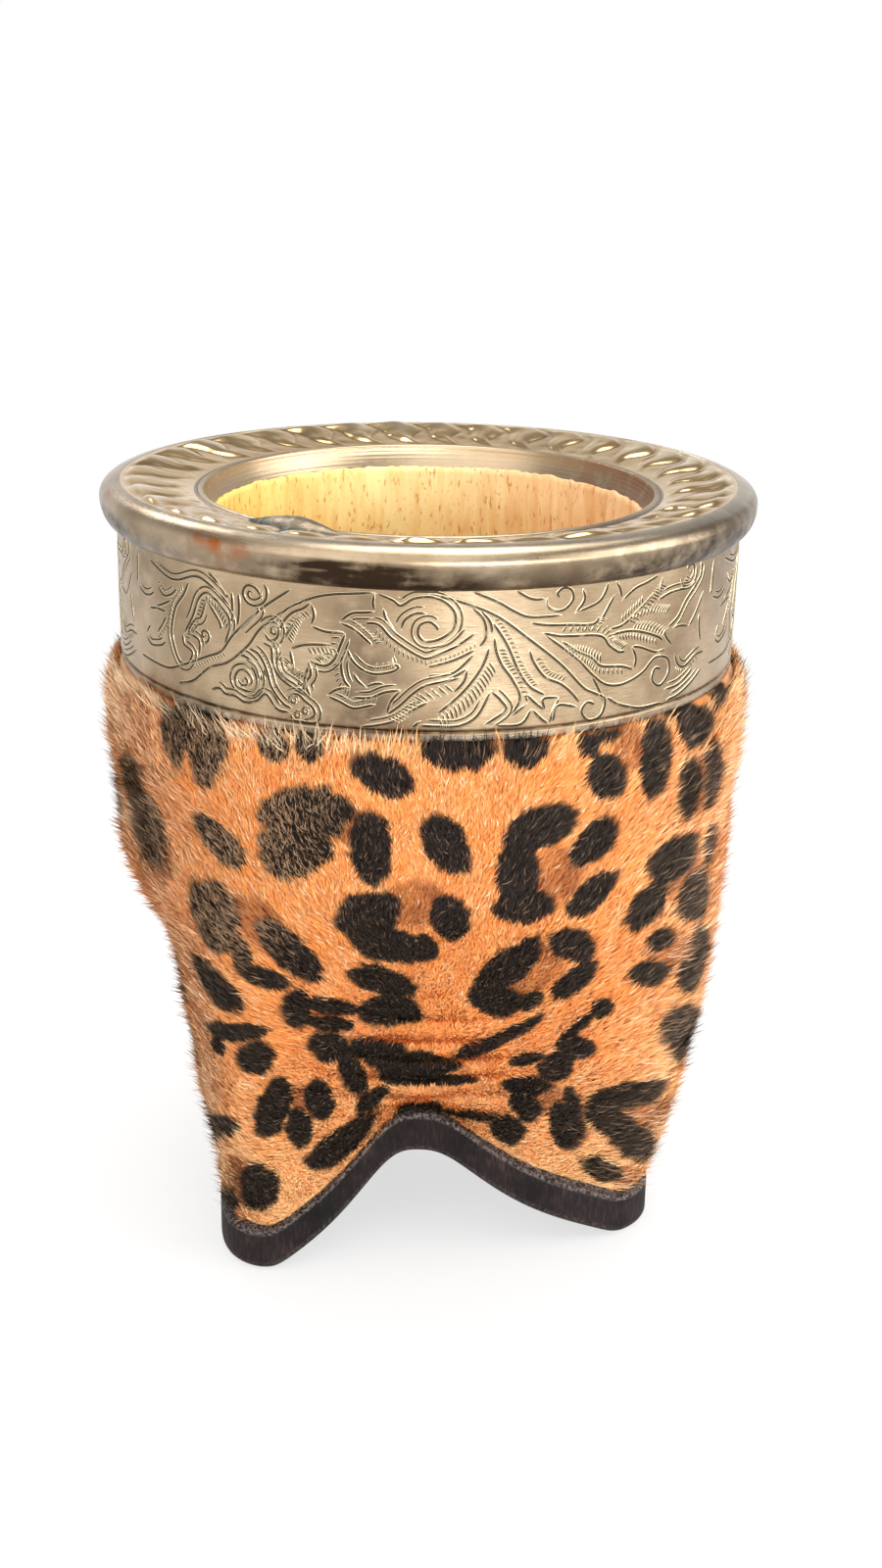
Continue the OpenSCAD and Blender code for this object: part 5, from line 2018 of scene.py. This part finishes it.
@dataclass(frozen=True)
class Studio:
    """Plain pale floor, soft lamps and a pale room that is darker overhead."""

    floor_z: float = -0.00004
    floor_r: float = 20.0
    floor_grey: float = 0.86
    lift: float = 0.62
    lift_reach: Pair = (0.1, 0.35)
    middle_z: float = 0.055
    lamps: tuple[tuple[str, Vector3, Pair, float], ...] = (
        ("key_lamp", (-0.55, -0.75, 0.8), (1.5, 1.5), 9.5),
        ("front_lamp", (0.2, -1.15, 0.19), (1.3, 0.34), 10.8),
        ("fill_lamp", (0.85, -0.4, 0.45), (0.8, 0.8), 8.0),
        ("top_lamp", (0.1, 0.15, 1.0), (0.6, 0.6), 4.5),
        ("back_lamp", (-0.25, 0.85, 0.75), (0.25, 0.25), 1.5),
    )
    room_levels: tuple[Pair, ...] = (
        (0.0, 1.0), (0.1, 1.0), (0.25, 0.85), (0.45, 0.72), (0.62, 0.4), (0.74, 0.35), (0.86, 0.8),
        (1.0, 0.8),
    )

    def build(self) -> None:
        """Make the floor, the lamps and the room."""
        bpy.context.scene.view_settings.view_transform = "Standard"
        self.build_floor()
        for lamp in self.lamps:
            self.lamp(*lamp)
        self.build_room()

    def lamp(self, name: str, place: Vector3, size: Pair, power: float) -> None:
        """Flat lamp that faces the middle of the cup.

        Args:
            name: its name.
            place: its place, in metres.
            size: its width and height, in metres.
            power: its power, in watts.
        """
        light = bpy.data.lights.new(name, "AREA")
        light.shape, light.energy = "RECTANGLE", power
        light.size, light.size_y = size
        back = unit(np.array(place) - np.array([0, 0, self.middle_z]))
        side = unit(np.cross([0, 0, 1], back))
        aim(to_scene(name, light), (side, np.cross(back, side), back), place)

    def build_floor(self) -> None:
        """Disc whose paint shows white to the camera and in reflections, and keeps the shadow."""
        angle = turn_angles(96)
        rings = polar(angle[None], np.array([[self.floor_r], [0.0]]) / METRE, self.floor_z / METRE)
        mesh = ring_skin(rings, closed=False).mesh("floor", weld=True)
        floor = to_scene("floor", mesh)
        paint = bpy.data.materials.new("floor_paint")
        tree = blank_tree(paint)
        matt = new_node(tree, "BsdfDiffuse", Color=(self.floor_grey, self.floor_grey, self.floor_grey, 1))
        glow, path, place = (new_node(tree, kind) for kind in ("Emission", "LightPath", "TexCoord"))
        either, seen, share = (new_node(tree, "Math") for _ in range(3))
        either.operation = seen.operation = "MAXIMUM"
        share.operation = "MULTIPLY"
        reach = new_node(tree, "VectorMath")
        reach.operation = "LENGTH"
        near, far = self.lift_reach
        fade = new_node(tree, "MapRange", From_Min=near, From_Max=far, To_Min=self.lift, To_Max=1.0)
        mix, output = new_node(tree, "MixShader"), new_node(tree, "OutputMaterial")
        join_all(
            tree, (path.outputs["Is Camera Ray"], either.inputs[0]),
            (path.outputs["Is Glossy Ray"], either.inputs[1]), (either.outputs[0], seen.inputs[0]),
            (path.outputs["Is Transmission Ray"], seen.inputs[1]),
            (place.outputs["Object"], reach.inputs[0]), (reach.outputs["Value"], fade.inputs["Value"]),
            (seen.outputs[0], share.inputs[0]), (fade.outputs["Result"], share.inputs[1]),
            (share.outputs[0], mix.inputs["Fac"]), (matt.outputs[0], mix.inputs[1]),
            (glow.outputs[0], mix.inputs[2]), (mix.outputs[0], output.inputs["Surface"]))
        mesh.materials.append(paint)

    def build_room(self) -> None:
        """World whose light is white at the horizon, darker above it and pale overhead."""
        world = bpy.data.worlds.new("studio_room")
        bpy.context.scene.world = world
        tree = blank_tree(world)
        way, split, ramp = (new_node(tree, kind) for kind in ("TexCoord", "SeparateXYZ", "ValToRGB"))
        fill_ramp(ramp, tuple((at, (level, level, level)) for at, level in self.room_levels))
        room, output = new_node(tree, "Background"), new_node(tree, "OutputWorld")
        join_all(
            tree, (way.outputs["Generated"], split.inputs["Vector"]),
            (split.outputs["Z"], ramp.inputs["Fac"]), (ramp.outputs["Color"], room.inputs["Color"]),
            (room.outputs[0], output.inputs["Surface"]))


def dress_bedding() -> None:
    """Give the CAD bedding its cement."""
    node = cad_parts["collar_bedding"]
    node.data.materials.clear()
    node.data.materials.append(Cement().make())
    LOG.info("collar_bedding: CAD solid with cement")


def main() -> None:
    """Build the cup from the sole up, then the studio."""
    logging.basicConfig(level=logging.INFO, format="%(name)s %(message)s")
    view = Viewpoint()
    view.build()
    _, hide_high = node_box("hide_sleeve")
    _, bedding_high = node_box("collar_bedding")
    band_low, band_high = node_box("collar_band")
    _, bead_high = node_box("rim_bead")
    flange_low, flange_high = node_box("rim_flange")
    lip_low, lip_high = node_box("mouth_lip")
    sole = BentSole(foot_r=float(node_box("sole")[1][1]))
    sole.build()
    hide = SpottedHide(sole, CoatColours(), top_z=hide_high[2], neck_r=bedding_high[0] - NECK_PLAY,
                       full_r=hide_high[0], band_r=band_high[0], band_low_z=band_low[2])
    hide.patches = hide.front_patches(view) + hide.back_patches()
    skin = hide.build_skin()
    hair = hide.build_hair()
    collar = Collar(band_r=band_high[0], inside_r=bedding_high[0], low_z=band_low[2], high_z=band_high[2])
    collar.build()
    collar.engrave()
    rim = Rim(bead_out_r=bead_high[0], top_z=bead_high[2], bead_mid_r=flange_high[0], band_r=band_high[0],
              flange_low_z=flange_low[2], lip_r=lip_high[0], crest_z=lip_high[2], lip_low_z=lip_low[2])
    rim.build_bead()
    rim.build_flange()
    rim.build_lip()
    rim.build_solder()
    gourd = Gourd(hide, mouth_r=lip_high[0] - rim.lip_thick, lip_low_z=lip_low[2],
                  floor_z=float(node_box("gourd")[0][2]))
    gourd.build()
    dress_bedding()
    Studio().build()


if __name__ == "__main__":
    main()
